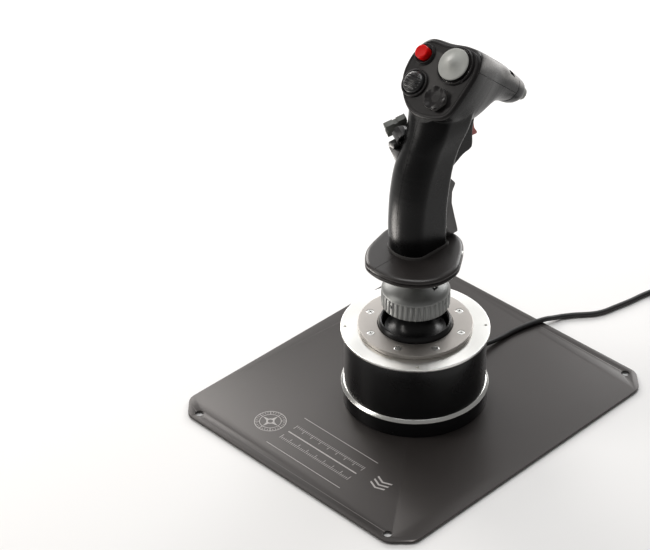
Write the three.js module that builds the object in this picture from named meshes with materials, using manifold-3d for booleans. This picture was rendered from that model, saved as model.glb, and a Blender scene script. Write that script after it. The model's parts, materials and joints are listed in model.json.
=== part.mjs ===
// A desktop flight joystick: a square metal plate, a round gimbal base, a threaded collar and a
// pilot's grip with four hats, three buttons, a trigger and a paddle lever.
// Millimetres. +X is the pilot's right, +Y points away from the pilot, +Z is up.
// The origin is on the desk, under the axis of the round base.
import * as THREE from 'three';
import { mergeVertices } from 'three/addons/utils/BufferGeometryUtils.js';
import Module from 'manifold-3d';

const wasm = await Module();
wasm.setup();

// ---------------------------------------------------------------- driving dimensions
const GAP = 0.05; // between faces that rest on each other
const CLEARANCE = 0.3; // between pieces inside turned groups
const ROUND = 40; // facets on the large turned parts
const MEDIUM_ROUND = 28; // facets on the parts inside the base and round the shaft
const SMALL_ROUND = 18; // facets on the knobs
const TINY_ROUND = 10; // facets on pins and rockers
const SCREW_ROUND = 8; // facets on the cover's screws

const PAD_HEIGHT = 1.0;
const PLATE_TOP = 3.0;
const PLATE_WIDTH = 256;
const PLATE_DEPTH = 300;
const PLATE_CORNER = 16;
const PLATE_HOLE_RADIUS = 3.4;
const PLATE_HOLE_X = 106.6;
const PLATE_HOLE_Y = 142.2;

const FLANGE_RADIUS = 59.4;
const FLANGE_TOP = 17.0;
const TRIM_RADIUS = 60.5;
const TRIM_TOP = 20.0;
const HOUSING_RADIUS = 57.9;
const HOUSING_WALL = 3.0;
const HOUSING_TOP = 68.4;
const DISC_RADIUS = 60.4;
const DISC_TOP = 71.0;
const DISC_HOLE_CIRCLE = 56.6;
const COVER_RADIUS = 46.6;
const COVER_TOP = 74.7;
const COVER_SCREW_CIRCLE = 39.0;
const COVER_SCREWS = 8;
const SOCKET_RADIUS = 30.2;
const SOCKET_RIM_RADIUS = 26.9;
const SOCKET_TOP = 78.8;

const PIVOT_HEIGHT = 62.0; // both tilt axes cross here
const DOME_RADIUS = 26.3;
const NECK_RADIUS = 11.9;
const COLLAR_BOTTOM = 93.3;
const COLLAR_BAND_TOP = 108.0;
const COLLAR_RADIUS = 27.4;
const COLLAR_RIBS = 24;
const SHAFT_RADIUS = 10.2;

const REST_BOTTOM = 141.3;
const REST_TOP = 149.0;

const GRIP_WALL = 2.6;
const FACE_CENTRE = new THREE.Vector3(0, 22.3, 286.0); // where the head's own axes start
const FACE_PITCH = Math.PI / 4; // the face looks at the pilot and up
const FACE_PLATE_THICKNESS = 2.0;
const HEAD_DEPTH = 99.5; // from the face to where the head's sections end, along the head
const NOSE_PLACE = new THREE.Vector3(0, 33, -96); // the nose button's ring, in the head's own axes
const NOSE_PITCH = THREE.MathUtils.degToRad(9); // the nose button looks up a little
const NOSE_YAW = THREE.MathUtils.degToRad(16); // and to the right of the head's axis
const NOSE_BUTTON_RADIUS = 5.2;

// controls on the face, by their distance right of and above the face's centre
const TRIM_HAT = { x: 7.0, y: 16.6, radius: 13.0, bezel: 15.6 };
const SCALLOPED_HAT = { x: 7.6, y: -12.4, radius: 10.0, bezel: 0 };
const RIDGED_HAT = { x: -18.6, y: -8.2, radius: 8.8, bezel: 11.4 };
const RELEASE_BUTTON = { x: -23.8, y: 15.2, radius: 5.6, bezel: 9.1 };

const TRIGGER_PIVOT = { y: 50, z: 251.5 };
const TRIGGER_HALF_WIDTH = 6;
const PADDLE_PIVOT = { y: 17, z: 164 };
const PADDLE_HALF_WIDTH = 11;
const PIN_RADIUS = 1.5;

const CORD_DIAMETER = 4.5;
const CORD_EXIT = { y: 70.5, z: 11 };

// ---------------------------------------------------------------- materials
const finish = (color, roughness, metalness) =>
  new THREE.MeshStandardMaterial({ color, roughness, metalness });
const materials = {
  plate: finish(0x4a4543, 0.45, 0.6),
  blackPaint: finish(0x0b0b0c, 0.3, 0.2),
  polished: finish(0xd8d8d4, 0.15, 1.0),
  brushed: finish(0xd9d9d2, 0.3, 1.0),
  satin: finish(0xb0a8a2, 0.35, 0.9),
  collar: finish(0x8f9090, 0.45, 0.5),
  steel: finish(0xa9abad, 0.25, 1.0),
  grip: finish(0x121213, 0.35, 0.1),
  lightGrey: finish(0xa9aaa4, 0.4, 0.0),
  darkGrey: finish(0x3c3e3b, 0.5, 0.0),
  red: finish(0xc80f0f, 0.25, 0.0),
  triggerRed: finish(0xb85a52, 0.5, 0.0),
  rubber: finish(0x151515, 0.8, 0.0),
  board: finish(0x1e5a36, 0.5, 0.0),
};

const joystick = new THREE.Group();
const head = new THREE.Group();
head.position.copy(FACE_CENTRE);
head.rotation.x = FACE_PITCH;
joystick.add(head);

function add(name, geometry, material, parent = joystick) {
  const mesh = new THREE.Mesh(geometry, material);
  mesh.name = name;
  parent.add(mesh);
  return mesh;
}

// ---------------------------------------------------------------- shape helpers

/** Six times the signed volume of an indexed mesh. */
function signedVolume(position, index) {
  const a = new THREE.Vector3();
  const b = new THREE.Vector3();
  const c = new THREE.Vector3();
  let volume = 0;
  for (let i = 0; i < index.length; i += 3) {
    a.fromBufferAttribute(position, index[i]);
    b.fromBufferAttribute(position, index[i + 1]);
    c.fromBufferAttribute(position, index[i + 2]);
    volume += a.dot(b.cross(c));
  }
  return volume;
}

/** Merges shared vertices, drops triangles without area and turns the faces outwards. */
function closed(geometry) {
  const bare = geometry.clone();
  bare.deleteAttribute('normal');
  bare.deleteAttribute('uv');
  const merged = mergeVertices(bare, 1e-4);
  const corners = merged.index.array;
  const kept = [];
  for (let i = 0; i < corners.length; i += 3) {
    const [a, b, c] = [corners[i], corners[i + 1], corners[i + 2]];
    if (a !== b && b !== c && c !== a) kept.push(a, b, c);
  }
  if (signedVolume(merged.attributes.position, kept) < 0) kept.reverse();
  merged.setIndex(kept);
  return merged;
}

function toSolid(geometry) {
  const mesh = closed(geometry);
  return new wasm.Manifold(new wasm.Mesh({
    numProp: 3,
    vertProperties: new Float32Array(mesh.attributes.position.array),
    triVerts: new Uint32Array(mesh.index.array),
  }));
}

function toGeometry(solid) {
  const mesh = solid.getMesh();
  const geometry = new THREE.BufferGeometry();
  const positions = new Float32Array(mesh.vertProperties);
  geometry.setAttribute('position', new THREE.BufferAttribute(positions, 3));
  geometry.setIndex([...mesh.triVerts]);
  return geometry;
}

const combine = (operation) => (first, ...others) =>
  toGeometry(others.reduce((solid, other) => solid[operation](toSolid(other)), toSolid(first)));
const join = combine('add');
const cut = combine('subtract');
const common = combine('intersect');

/** A solid turned about Z from [radius, height] points, closed on the axis or on itself. */
function turned(profile, facets = ROUND) {
  const points = profile.map(([radius, height]) => new THREE.Vector2(radius, height));
  return closed(new THREE.LatheGeometry(points, facets).rotateX(Math.PI / 2));
}

/** A ring turned about Z, closed by repeating its first point. */
const turnedRing = (profile, facets) => turned([...profile, profile[0]], facets);

/** A disc or tube with a plain rectangular section. */
const tube = (inner, outer, bottom, top, facets) =>
  turnedRing([[inner, bottom], [outer, bottom], [outer, top], [inner, top]], facets);

/** A solid rod along Z. */
const rod = (radius, bottom, top, facets = SMALL_ROUND) =>
  turned([[0, bottom], [radius, bottom], [radius, top], [0, top]], facets);

function box(low, high) {
  const size = new THREE.Vector3(...high).sub(new THREE.Vector3(...low));
  const centre = new THREE.Vector3(...high).add(new THREE.Vector3(...low)).multiplyScalar(0.5);
  return new THREE.BoxGeometry(size.x, size.y, size.z).translate(centre.x, centre.y, centre.z);
}

/** A prism from an outline in the XY plane. */
function prism(outline, bottom, top) {
  const shape = new THREE.Shape(outline.map(([x, y]) => new THREE.Vector2(x, y)));
  const geometry = new THREE.ExtrudeGeometry(shape, { depth: top - bottom, bevelEnabled: false });
  return closed(geometry.translate(0, 0, bottom));
}

/** A prism across the grip, from an outline of [y, z] points. */
function crossPrism(outline, halfWidth) {
  const shape = new THREE.Shape(outline.map(([y, z]) => new THREE.Vector2(y, z)));
  const geometry = new THREE.ExtrudeGeometry(shape, { depth: 2 * halfWidth, bevelEnabled: false });
  geometry.translate(0, 0, -halfWidth);
  const swap = new THREE.Matrix4().set(0, 0, 1, 0, 1, 0, 0, 0, 0, 1, 0, 0, 0, 0, 0, 1);
  return closed(geometry.applyMatrix4(swap));
}

/** A rod along X at a height and depth in the grip. */
const crossRod = (radius, { y, z }, halfLength) =>
  rod(radius, -halfLength, halfLength, TINY_ROUND).rotateY(Math.PI / 2).translate(0, y, z);

/** A closed smooth curve through [x, y] points, as evenly spaced [x, y] points. */
function smoothOutline(points, count) {
  const knots = points.map(([x, y]) => new THREE.Vector3(x, y, 0));
  const curve = new THREE.CatmullRomCurve3(knots, true, 'centripetal');
  return Array.from({ length: count }, (_, i) => {
    const point = curve.getPoint(i / count);
    return [point.x, point.y];
  });
}

/** A solid through a list of sections, each the same number of Vector3 points. */
function loft(sections) {
  const count = sections[0].length;
  const positions = sections.flatMap((section) => section.flatMap((p) => [p.x, p.y, p.z]));
  const index = [];
  for (let s = 0; s + 1 < sections.length; s += 1) {
    for (let i = 0; i < count; i += 1) {
      const next = (i + 1) % count;
      const [a, b] = [s * count + i, s * count + next];
      index.push(a, b, b + count, a, b + count, a + count);
    }
  }
  for (const s of [0, sections.length - 1]) {
    const centre = sections[s].reduce((sum, p) => sum.add(p), new THREE.Vector3()).divideScalar(count);
    const centreIndex = positions.length / 3;
    positions.push(centre.x, centre.y, centre.z);
    for (let i = 0; i < count; i += 1) {
      const [a, b] = [s * count + i, s * count + ((i + 1) % count)];
      if (s === 0) index.push(centreIndex, b, a);
      else index.push(centreIndex, a, b);
    }
  }
  const geometry = new THREE.BufferGeometry();
  geometry.setAttribute('position', new THREE.Float32BufferAttribute(positions, 3));
  geometry.setIndex(index);
  return closed(geometry);
}

/** Copies a geometry from the head's axes to the whole joystick's. */
function fromHead(geometry) {
  head.updateMatrix();
  return geometry.clone().applyMatrix4(head.matrix);
}

// ---------------------------------------------------------------- plate and round base

function basePlate() {
  const [w, d, c] = [PLATE_WIDTH / 2, PLATE_DEPTH / 2, PLATE_CORNER];
  const outline = new THREE.Shape();
  const round = c / 3; // each bevelled corner's ends are rounded
  outline.moveTo(-w + c + round, -d);
  outline.lineTo(w - c - round, -d);
  outline.quadraticCurveTo(w - c, -d, w - c + round * 0.7, -d + round * 0.7);
  outline.lineTo(w - round * 0.7, -d + c - round * 0.7);
  outline.quadraticCurveTo(w, -d + c, w, -d + c + round);
  outline.lineTo(w, d - c - round);
  outline.quadraticCurveTo(w, d - c, w - round * 0.7, d - c + round * 0.7);
  outline.lineTo(w - c + round * 0.7, d - round * 0.7);
  outline.quadraticCurveTo(w - c, d, w - c - round, d);
  outline.lineTo(-w + c + round, d);
  outline.quadraticCurveTo(-w + c, d, -w + c - round * 0.7, d - round * 0.7);
  outline.lineTo(-w + round * 0.7, d - c + round * 0.7);
  outline.quadraticCurveTo(-w, d - c, -w, d - c - round);
  outline.lineTo(-w, -d + c + round);
  outline.quadraticCurveTo(-w, -d + c, -w + round * 0.7, -d + c - round * 0.7);
  outline.lineTo(-w + c - round * 0.7, -d + round * 0.7);
  outline.quadraticCurveTo(-w + c, -d, -w + c + round, -d);
  for (const x of [-PLATE_HOLE_X, PLATE_HOLE_X]) {
    for (const y of [-PLATE_HOLE_Y, PLATE_HOLE_Y]) {
      outline.holes.push(new THREE.Path().absarc(x, y, PLATE_HOLE_RADIUS, 0, 2 * Math.PI, true));
    }
  }
  const depth = PLATE_TOP - PAD_HEIGHT - GAP;
  const geometry = new THREE.ExtrudeGeometry(outline, { depth, bevelEnabled: false, curveSegments: 6 });
  return closed(geometry.translate(0, 0, PAD_HEIGHT + GAP));
}

add('base_plate', basePlate(), materials.plate);

const PAD_RADIUS = 11;
const PAD_X = 100;
const PAD_Y = 122;
[[-1, -1], [1, -1], [1, 1], [-1, 1]].forEach(([sideX, sideY], i) => {
  const pad = rod(PAD_RADIUS, 0, PAD_HEIGHT).translate(sideX * PAD_X, sideY * PAD_Y, 0);
  add(`foot_pad_${i + 1}`, pad, materials.rubber);
});

const HOUSING_INNER = HOUSING_RADIUS - HOUSING_WALL;
const GLAND_RADIUS = 5.0;
const glandHole = () => rod(GLAND_RADIUS + CLEARANCE, -20, 20, 16)
  .rotateX(Math.PI / 2)
  .translate(0, FLANGE_RADIUS, CORD_EXIT.z);

add('lower_flange', cut(turnedRing([
  [HOUSING_INNER, PLATE_TOP + GAP],
  [FLANGE_RADIUS, PLATE_TOP + GAP],
  [FLANGE_RADIUS, FLANGE_TOP],
  [HOUSING_INNER, FLANGE_TOP],
]), glandHole()), materials.blackPaint);

add('trim_ring', turnedRing([
  [HOUSING_INNER, FLANGE_TOP + GAP],
  [TRIM_RADIUS, FLANGE_TOP + GAP],
  [TRIM_RADIUS, FLANGE_TOP + 1],
  [HOUSING_RADIUS + 0.3, TRIM_TOP],
  [HOUSING_INNER, TRIM_TOP],
]), materials.polished);

const housing = tube(HOUSING_INNER, HOUSING_RADIUS, TRIM_TOP + GAP, HOUSING_TOP);
add('housing_shell', housing, materials.blackPaint);

function topDisc() {
  const disc = turnedRing([
    [SOCKET_RADIUS + 4, HOUSING_TOP + GAP],
    [DISC_RADIUS - 0.4, HOUSING_TOP + GAP],
    [DISC_RADIUS, HOUSING_TOP + 0.6],
    [DISC_RADIUS, DISC_TOP - 0.6],
    [DISC_RADIUS - 0.6, DISC_TOP],
    [SOCKET_RADIUS + 4, DISC_TOP],
  ]);
  const holes = [1, 3, 5, 7].map((eighth) => {
    const angle = eighth * Math.PI / 4;
    return rod(0.9, HOUSING_TOP - 1, DISC_TOP + 1, 6)
      .translate(DISC_HOLE_CIRCLE * Math.cos(angle), DISC_HOLE_CIRCLE * Math.sin(angle), 0);
  });
  return cut(disc, ...holes);
}
add('top_disc', topDisc(), materials.brushed);

const screwAngles = Array.from({ length: COVER_SCREWS }, (_, i) => (i + 0.5) * 2 * Math.PI / COVER_SCREWS);
const onScrewCircle = (geometry, angle) =>
  geometry.translate(COVER_SCREW_CIRCLE * Math.cos(angle), COVER_SCREW_CIRCLE * Math.sin(angle), 0);

/** A countersunk screw whose head is flush with the cover ring. */
function coverScrew(extra = 0) {
  const [rim, shank] = [3.1 + extra, 1.5 + extra];
  return turned([
    [0, DISC_TOP + 0.2 - extra],
    [shank, DISC_TOP + 0.2 - extra],
    [shank, COVER_TOP - 1.8],
    [rim, COVER_TOP - 0.4],
    [rim, COVER_TOP + extra],
    [0, COVER_TOP + extra],
  ], SCREW_ROUND);
}

function coverRing() {
  const ring = turnedRing([
    [SOCKET_RADIUS + CLEARANCE, DISC_TOP + GAP],
    [COVER_RADIUS, DISC_TOP + GAP],
    [COVER_RADIUS, COVER_TOP - 0.5],
    [COVER_RADIUS - 0.5, COVER_TOP],
    [SOCKET_RADIUS + CLEARANCE, COVER_TOP],
  ]);
  return cut(ring, ...screwAngles.map((angle) => onScrewCircle(coverScrew(0.15), angle)));
}
add('gimbal_cover', coverRing(), materials.satin);
screwAngles.forEach((angle, i) => {
  add(`cover_screw_${i + 1}`, onScrewCircle(coverScrew(), angle), materials.steel);
});

// the black socket ring, whose wall goes down around the moving dome
const SOCKET_WALL_RADIUS = 28.2;
const SOCKET_BOTTOM = 46;
add('socket_ring', turnedRing([
  [SOCKET_WALL_RADIUS, SOCKET_BOTTOM],
  [SOCKET_RADIUS, SOCKET_BOTTOM],
  [SOCKET_RADIUS, COVER_TOP + 0.1],
  [SOCKET_RADIUS - 0.4, COVER_TOP + 1.6],
  [SOCKET_RIM_RADIUS + 1.3, SOCKET_TOP],
  [SOCKET_RIM_RADIUS + 0.4, SOCKET_TOP - 0.4],
  [SOCKET_RIM_RADIUS, SOCKET_TOP - 2.2],
  [SOCKET_RIM_RADIUS, COVER_TOP - 1],
  [SOCKET_WALL_RADIUS, COVER_TOP - 3],
]), materials.blackPaint);

// ---------------------------------------------------------------- inside the base

// a floor with two posts, whose bores carry the cross's X stubs
const FRAME_FLOOR_TOP = 7;
const POST = { inner: 12, outer: 15, halfDepth: 4, top: 66 };
const X_STUB_RADIUS = 2.4;
const Y_STUB_RADIUS = 2.0;

const PIVOT_BORE_REACH = 18;
const alongX = (radius, reach) => rod(radius, -reach, reach, TINY_ROUND).rotateY(Math.PI / 2);
const alongY = (radius, reach) => rod(radius, -reach, reach, TINY_ROUND).rotateX(Math.PI / 2);

function gimbalFrame() {
  const floor = tube(6, 48, PLATE_TOP + GAP, FRAME_FLOOR_TOP, MEDIUM_ROUND);
  const posts = [-1, 1].map((side) => box(
    [Math.min(side * POST.inner, side * POST.outer), -POST.halfDepth, FRAME_FLOOR_TOP - 1],
    [Math.max(side * POST.inner, side * POST.outer), POST.halfDepth, POST.top],
  ));
  const bores = alongX(X_STUB_RADIUS + CLEARANCE, PIVOT_BORE_REACH).translate(0, 0, PIVOT_HEIGHT);
  return cut(join(floor, ...posts), bores);
}
add('gimbal_frame', gimbalFrame(), materials.steel);

// the cross between the posts: it tilts about X, and the dome tilts on it about Y
const LUG = { inner: 7.5, outer: 10.5, halfWidth: 4, bottom: 57, top: 74.5 };
function gimbalCross() {
  const block = box([-6, -6, -5], [6, 6, 5]);
  const stubs = [alongX(X_STUB_RADIUS, POST.outer), alongY(Y_STUB_RADIUS, LUG.outer)];
  return join(block, ...stubs).translate(0, 0, PIVOT_HEIGHT);
}
add('gimbal_cross', gimbalCross(), materials.steel);

// the moving dome: a hollow ball surface centred on the pivot, with a flared neck on top
const DOME_WALL = 3;
function pivotDome() {
  const onBall = (radius) => (angle) => [
    radius * Math.cos(angle),
    PIVOT_HEIGHT + radius * Math.sin(angle),
  ];
  const ball = [-0.2, 0, 0.2, 0.36].map(onBall(DOME_RADIUS));
  const flare = [[21.4, 71.6], [17.4, 73.2], [14.2, 75.6], [12.5, 78.8], [NECK_RADIUS, 83]];
  const neck = [[NECK_RADIUS, COLLAR_BOTTOM - CLEARANCE], [0, COLLAR_BOTTOM - CLEARANCE]];
  const roof = [[0, 73.5], [11, 73], [15, 72.5], [19.5, 68.3]];
  const inside = [0, -0.2].map(onBall(DOME_RADIUS - DOME_WALL));
  const shell = turned([...roof, ...inside, ...ball, ...flare, ...neck], MEDIUM_ROUND);
  const lugs = [-1, 1].map((side) => box(
    [-LUG.halfWidth, Math.min(side * LUG.inner, side * LUG.outer), LUG.bottom],
    [LUG.halfWidth, Math.max(side * LUG.inner, side * LUG.outer), LUG.top],
  ));
  const bores = alongY(Y_STUB_RADIUS + CLEARANCE, PIVOT_BORE_REACH).translate(0, 0, PIVOT_HEIGHT);
  return cut(join(shell, ...lugs), bores);
}
add('pivot_dome', pivotDome(), materials.blackPaint);

// compression spring under the cross, standing on the frame
class Helix extends THREE.Curve {
  constructor(radius, bottom, top, turns) {
    super();
    Object.assign(this, { radius, bottom, top, turns });
  }

  getPoint(t, target = new THREE.Vector3()) {
    const angle = 2 * Math.PI * this.turns * t;
    const height = this.bottom + (this.top - this.bottom) * t;
    return target.set(this.radius * Math.cos(angle), this.radius * Math.sin(angle), height);
  }
}

function roundSection(radius, sides) {
  return new THREE.Shape(Array.from({ length: sides }, (_, i) => new THREE.Vector2(
    radius * Math.cos(2 * Math.PI * i / sides),
    radius * Math.sin(2 * Math.PI * i / sides),
  )));
}

const alongCurve = (curve, radius, sides, steps) => closed(new THREE.ExtrudeGeometry(
  roundSection(radius, sides),
  { steps, extrudePath: curve, bevelEnabled: false },
));
const SPRING = { radius: 9.5, bottom: FRAME_FLOOR_TOP + 1.3, top: 50, turns: 5, wire: 1.2 };
const springCurve = new Helix(SPRING.radius, SPRING.bottom, SPRING.top, SPRING.turns);
add('centring_spring', alongCurve(springCurve, SPRING.wire, 5, 50), materials.steel);

add('base_circuit_board', box([-18, -50, 9], [18, -22, 10.6]), materials.board);

// ---------------------------------------------------------------- cord

const coneAlongY = (profile, facets) => turned(profile, facets).rotateX(-Math.PI / 2);
const GLAND_INNER_Y = 50;
add('strain_relief', coneAlongY([
  [0, GLAND_INNER_Y],
  [GLAND_RADIUS, GLAND_INNER_Y],
  [GLAND_RADIUS, FLANGE_RADIUS + 1.2],
  [GLAND_RADIUS - 1, FLANGE_RADIUS + 2],
  [CORD_DIAMETER / 2 + 0.5, CORD_EXIT.y - CLEARANCE],
  [0, CORD_EXIT.y - CLEARANCE],
], 16).translate(0, 0, CORD_EXIT.z), materials.rubber);

// The cord leaves the strain relief, sinks to the plate, crosses its edge and runs on the desk.
const CORD_ROUTE = [
  [0, 70.5, 11], [0, 78, 9.9], [0.3, 87, 8.0], [0.8, 97, 6.4], [1.4, 108, 5.5], [2, 119, 5.3],
  [3.8, 129, 5.35], [6.1, 139, 5.4], [8.6, 147, 5.4], [11, 154, 5.1], [13, 161, 3.6], [15.6, 168.5, 2.5],
  [22, 178, 2.35], [29.2, 186.5, 2.3], [34, 193.5, 2.3], [37, 201, 2.3], [39.2, 211, 2.3], [41.2, 220, 2.3],
  [43, 229, 2.3], [44.7, 241, 2.3], [46.5, 250, 2.3], [48.5, 257, 2.3], [50.4, 262.5, 2.3],
];
const cordCurve = new THREE.CatmullRomCurve3(
  CORD_ROUTE.map((point) => new THREE.Vector3(...point)),
  false,
  'centripetal',
);
add('cord', alongCurve(cordCurve, CORD_DIAMETER / 2, 8, 30), materials.rubber);

// the spare length lies in a round coil, with the plug on top of it
const COIL = { x: 82, y: 274, inner: 16.2, outer: 29.8, height: 13.6 };
const coil = tube(COIL.inner, COIL.outer, GAP, COIL.height, 32).translate(COIL.x, COIL.y, 0);
add('cord_coil', coil, materials.rubber);

const PLUG = { width: 15.5, height: 8, body: 30, tongueWidth: 12, tongueHeight: 4.5, tongue: 12 };
const PLUG_START = { x: COIL.x + 4, y: COIL.y + 18.5, z: COIL.height + CLEARANCE };
function usbPlug() {
  const body = box([0, -PLUG.width / 2, 0], [PLUG.body, PLUG.width / 2, PLUG.height]);
  const middle = PLUG.height / 2;
  const tongue = box(
    [PLUG.body - 1, -PLUG.tongueWidth / 2, middle - PLUG.tongueHeight / 2],
    [PLUG.body + PLUG.tongue, PLUG.tongueWidth / 2, middle + PLUG.tongueHeight / 2],
  );
  return join(body, tongue).translate(PLUG_START.x, PLUG_START.y, PLUG_START.z);
}
add('usb_plug', usbPlug(), materials.rubber);

// ---------------------------------------------------------------- collar, shaft and hand rest

add('grip_shaft', turned([
  [0, COLLAR_BOTTOM],
  [NECK_RADIUS, COLLAR_BOTTOM],
  [NECK_RADIUS, COLLAR_BAND_TOP],
  [SHAFT_RADIUS, COLLAR_BAND_TOP + 1],
  [SHAFT_RADIUS, 163],
  [0, 163],
], SMALL_ROUND), materials.steel);

function collar() {
  const ribs = Array.from({ length: COLLAR_RIBS * 4 }, (_, i) => {
    const angle = 2 * Math.PI * i / (COLLAR_RIBS * 4);
    const radius = COLLAR_RADIUS + (i % 4 < 2 ? 0.5 : -0.5);
    return [radius * Math.cos(angle), radius * Math.sin(angle)];
  });
  const band = prism(ribs, COLLAR_BOTTOM, COLLAR_BAND_TOP);
  const dome = turned([
    [0, COLLAR_BAND_TOP - 1],
    [COLLAR_RADIUS, COLLAR_BAND_TOP - 1],
    [COLLAR_RADIUS + 0.3, COLLAR_BAND_TOP],
    [COLLAR_RADIUS - 0.6, COLLAR_BAND_TOP + 2.2],
    [COLLAR_RADIUS - 3.4, COLLAR_BAND_TOP + 4.6],
    [COLLAR_RADIUS - 9, COLLAR_BAND_TOP + 7],
    [SHAFT_RADIUS + 1.6, COLLAR_BAND_TOP + 8.6],
    [0, COLLAR_BAND_TOP + 8.6],
  ], MEDIUM_ROUND);
  const bore = turned([
    [0, COLLAR_BOTTOM - 1],
    [NECK_RADIUS + CLEARANCE, COLLAR_BOTTOM - 1],
    [NECK_RADIUS + CLEARANCE, COLLAR_BAND_TOP + 1.5],
    [SHAFT_RADIUS + CLEARANCE, COLLAR_BAND_TOP + 2.5],
    [SHAFT_RADIUS + CLEARANCE, COLLAR_BAND_TOP + 12],
    [0, COLLAR_BAND_TOP + 12],
  ], SMALL_ROUND);
  return cut(join(band, dome), bore);
}
add('threaded_collar', collar(), materials.collar);

// hand rest: a rounded leaf under the palm, wider on the right
const REST_OUTLINE = [
  [-33.3, 4], [-31, -12], [-24.5, -31], [-12, -45], [0.5, -48.7], [12.5, -48.2], [25, -44.8],
  [38, -35.4], [45, -24], [46.8, -12.5], [45, -0.5], [38, 11.3], [28.2, 24.4], [18, 32.4],
  [6, 34.5], [-9, 31], [-24, 20],
];
const REST_LIP = 3.2;
function handRest() {
  const outline = smoothOutline(REST_OUTLINE, 28);
  const centre = [6, -7];
  const inset = (distance) => outline.map(([x, y]) => {
    const [dx, dy] = [x - centre[0], y - centre[1]];
    const scale = 1 - distance / Math.hypot(dx, dy);
    return [centre[0] + dx * scale, centre[1] + dy * scale];
  });
  const layer = (distance, bottom, top) => prism(inset(distance), bottom, top);
  const plate = join(
    layer(1.2, REST_BOTTOM, REST_TOP),
    layer(0, REST_BOTTOM + 1, REST_BOTTOM + REST_LIP),
    layer(0.1, REST_TOP - 3.6, REST_TOP - 1.2),
  );
  const boss = turned([
    [0, 136.5], [15, 136.5], [17.5, 138.5], [18.5, REST_BOTTOM + 1], [0, REST_BOTTOM + 1],
  ], SMALL_ROUND);
  return cut(join(plate, boss), rod(SHAFT_RADIUS + CLEARANCE, 130, 152));
}
add('hand_rest', handRest(), materials.grip);

// ---------------------------------------------------------------- grip

// sections of the handle: height, rear, front, half-width and sideways offset of the middle
const HANDLE_SECTIONS = [
  [149.1, -21.4, 19.3, 17.2, 0],
  [166, -22.6, 19.2, 17.5, 0],
  [183, -21.9, 19.2, 17.8, 0],
  [200, -19.9, 21.0, 18.2, 0],
  [218, -15.3, 24.3, 18.6, 0],
  [234, -9.9, 30, 18.2, 1.5],
  [250, -4.2, 38, 19, 3.2],
  [264, 2.0, 44, 21, 1],
];
const CREASE_FROM_REAR = 12.5;
const FRONT_CORNER = 6;

function handleSection([z, rear, front, halfWidth, offset], inset) {
  const [back, nose, w] = [rear + inset, front - inset, halfWidth - inset];
  const crease = back + CREASE_FROM_REAR - inset;
  const arc = Array.from({ length: 11 }, (_, i) => {
    const angle = Math.PI * (i + 0.5) / 11;
    return [-w * Math.cos(angle), crease - (crease - back) * Math.sin(angle)];
  });
  const corner = (side) => Array.from({ length: 4 }, (_, i) => {
    const angle = side > 0 ? (Math.PI / 2) * (i / 3) : (Math.PI / 2) * (1 + i / 3);
    return [
      side * (w - FRONT_CORNER) + FRONT_CORNER * Math.cos(angle),
      nose - FRONT_CORNER + FRONT_CORNER * Math.sin(angle),
    ];
  });
  const outline = [...arc, [w, crease], ...corner(1), ...corner(-1), [-w, crease]];
  return outline.map(([x, y]) => new THREE.Vector3(x + offset, y, z));
}
const handle = (inset = 0) => loft(HANDLE_SECTIONS.map((section) => handleSection(section, inset)));

// the face's outline, from its lower right corner round to the left, then the nose's circle
const FACE_OUTLINE = [
  [22.6, -20.5], [26, 0], [26.2, 19], [19, 32], [6, 33.4], [-10, 30.2], [-27, 27.8], [-34.6, 14],
  [-33.2, -5], [-23, -20.5], [-9, -29], [9, -28],
];
const FACE_BOX = { left: -34.8, right: 26.6, bottom: -29.6, top: 33.6 };

// sections of the head: depth behind the face, left, right, bottom, top, roundness
const HEAD_SECTIONS = [
  [0, -34.8, 26.6, -29.6, 32.2, 0],
  [2.4, -35.6, 27.4, -30.2, 34.4, 0],
  [12, -34.4, 26.6, -31, 37, 0.15],
  [28, -27.5, 23.5, -27, 39.5, 0.35],
  [45, -20, 19, -14, 41.4, 0.6],
  [60, -15.6, 15.6, 8, 42.4, 0.8],
  [78, -12.6, 12.6, 17.4, 42.6, 0.95],
  [90, -11, 11, 20, 42.4, 1],
  [HEAD_DEPTH, -7.6, 7.6, 26.2, 41.4, 1],
];
const HEAD_FACETS = 28;

function headSection([depth, left, right, bottom, top, roundness], inset) {
  const faceMiddle = [(FACE_BOX.left + FACE_BOX.right) / 2, (FACE_BOX.bottom + FACE_BOX.top) / 2];
  const faceHalf = [(FACE_BOX.right - FACE_BOX.left) / 2, (FACE_BOX.top - FACE_BOX.bottom) / 2];
  const middle = [(left + right) / 2, (bottom + top) / 2];
  const half = [(right - left) / 2 - inset, (top - bottom) / 2 - inset];
  return smoothOutline(FACE_OUTLINE, HEAD_FACETS).map(([x, y]) => {
    const flat = [(x - faceMiddle[0]) / faceHalf[0], (y - faceMiddle[1]) / faceHalf[1]];
    const length = Math.hypot(...flat);
    const [u, v] = flat.map((value) => value + (value / length - value) * roundness);
    return new THREE.Vector3(middle[0] + half[0] * u, middle[1] + half[1] * v, -depth);
  });
}
const headBody = (inset = 0) =>
  fromHead(loft(HEAD_SECTIONS.map((section) => headSection(section, inset))));

// the narrow front of the neck, behind the trigger, with a knuckle under it
const NECK_HALF_WIDTH = 9.5;
const neckFront = () => crossPrism([
  [5, 203], [21, 203], [29, 210], [43, 217.5], [51, 218.5], [53.4, 220.5], [53.4, 226], [53, 236],
  [55, 246], [60, 250], [50, 262], [5, 262],
], NECK_HALF_WIDTH);

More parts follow.
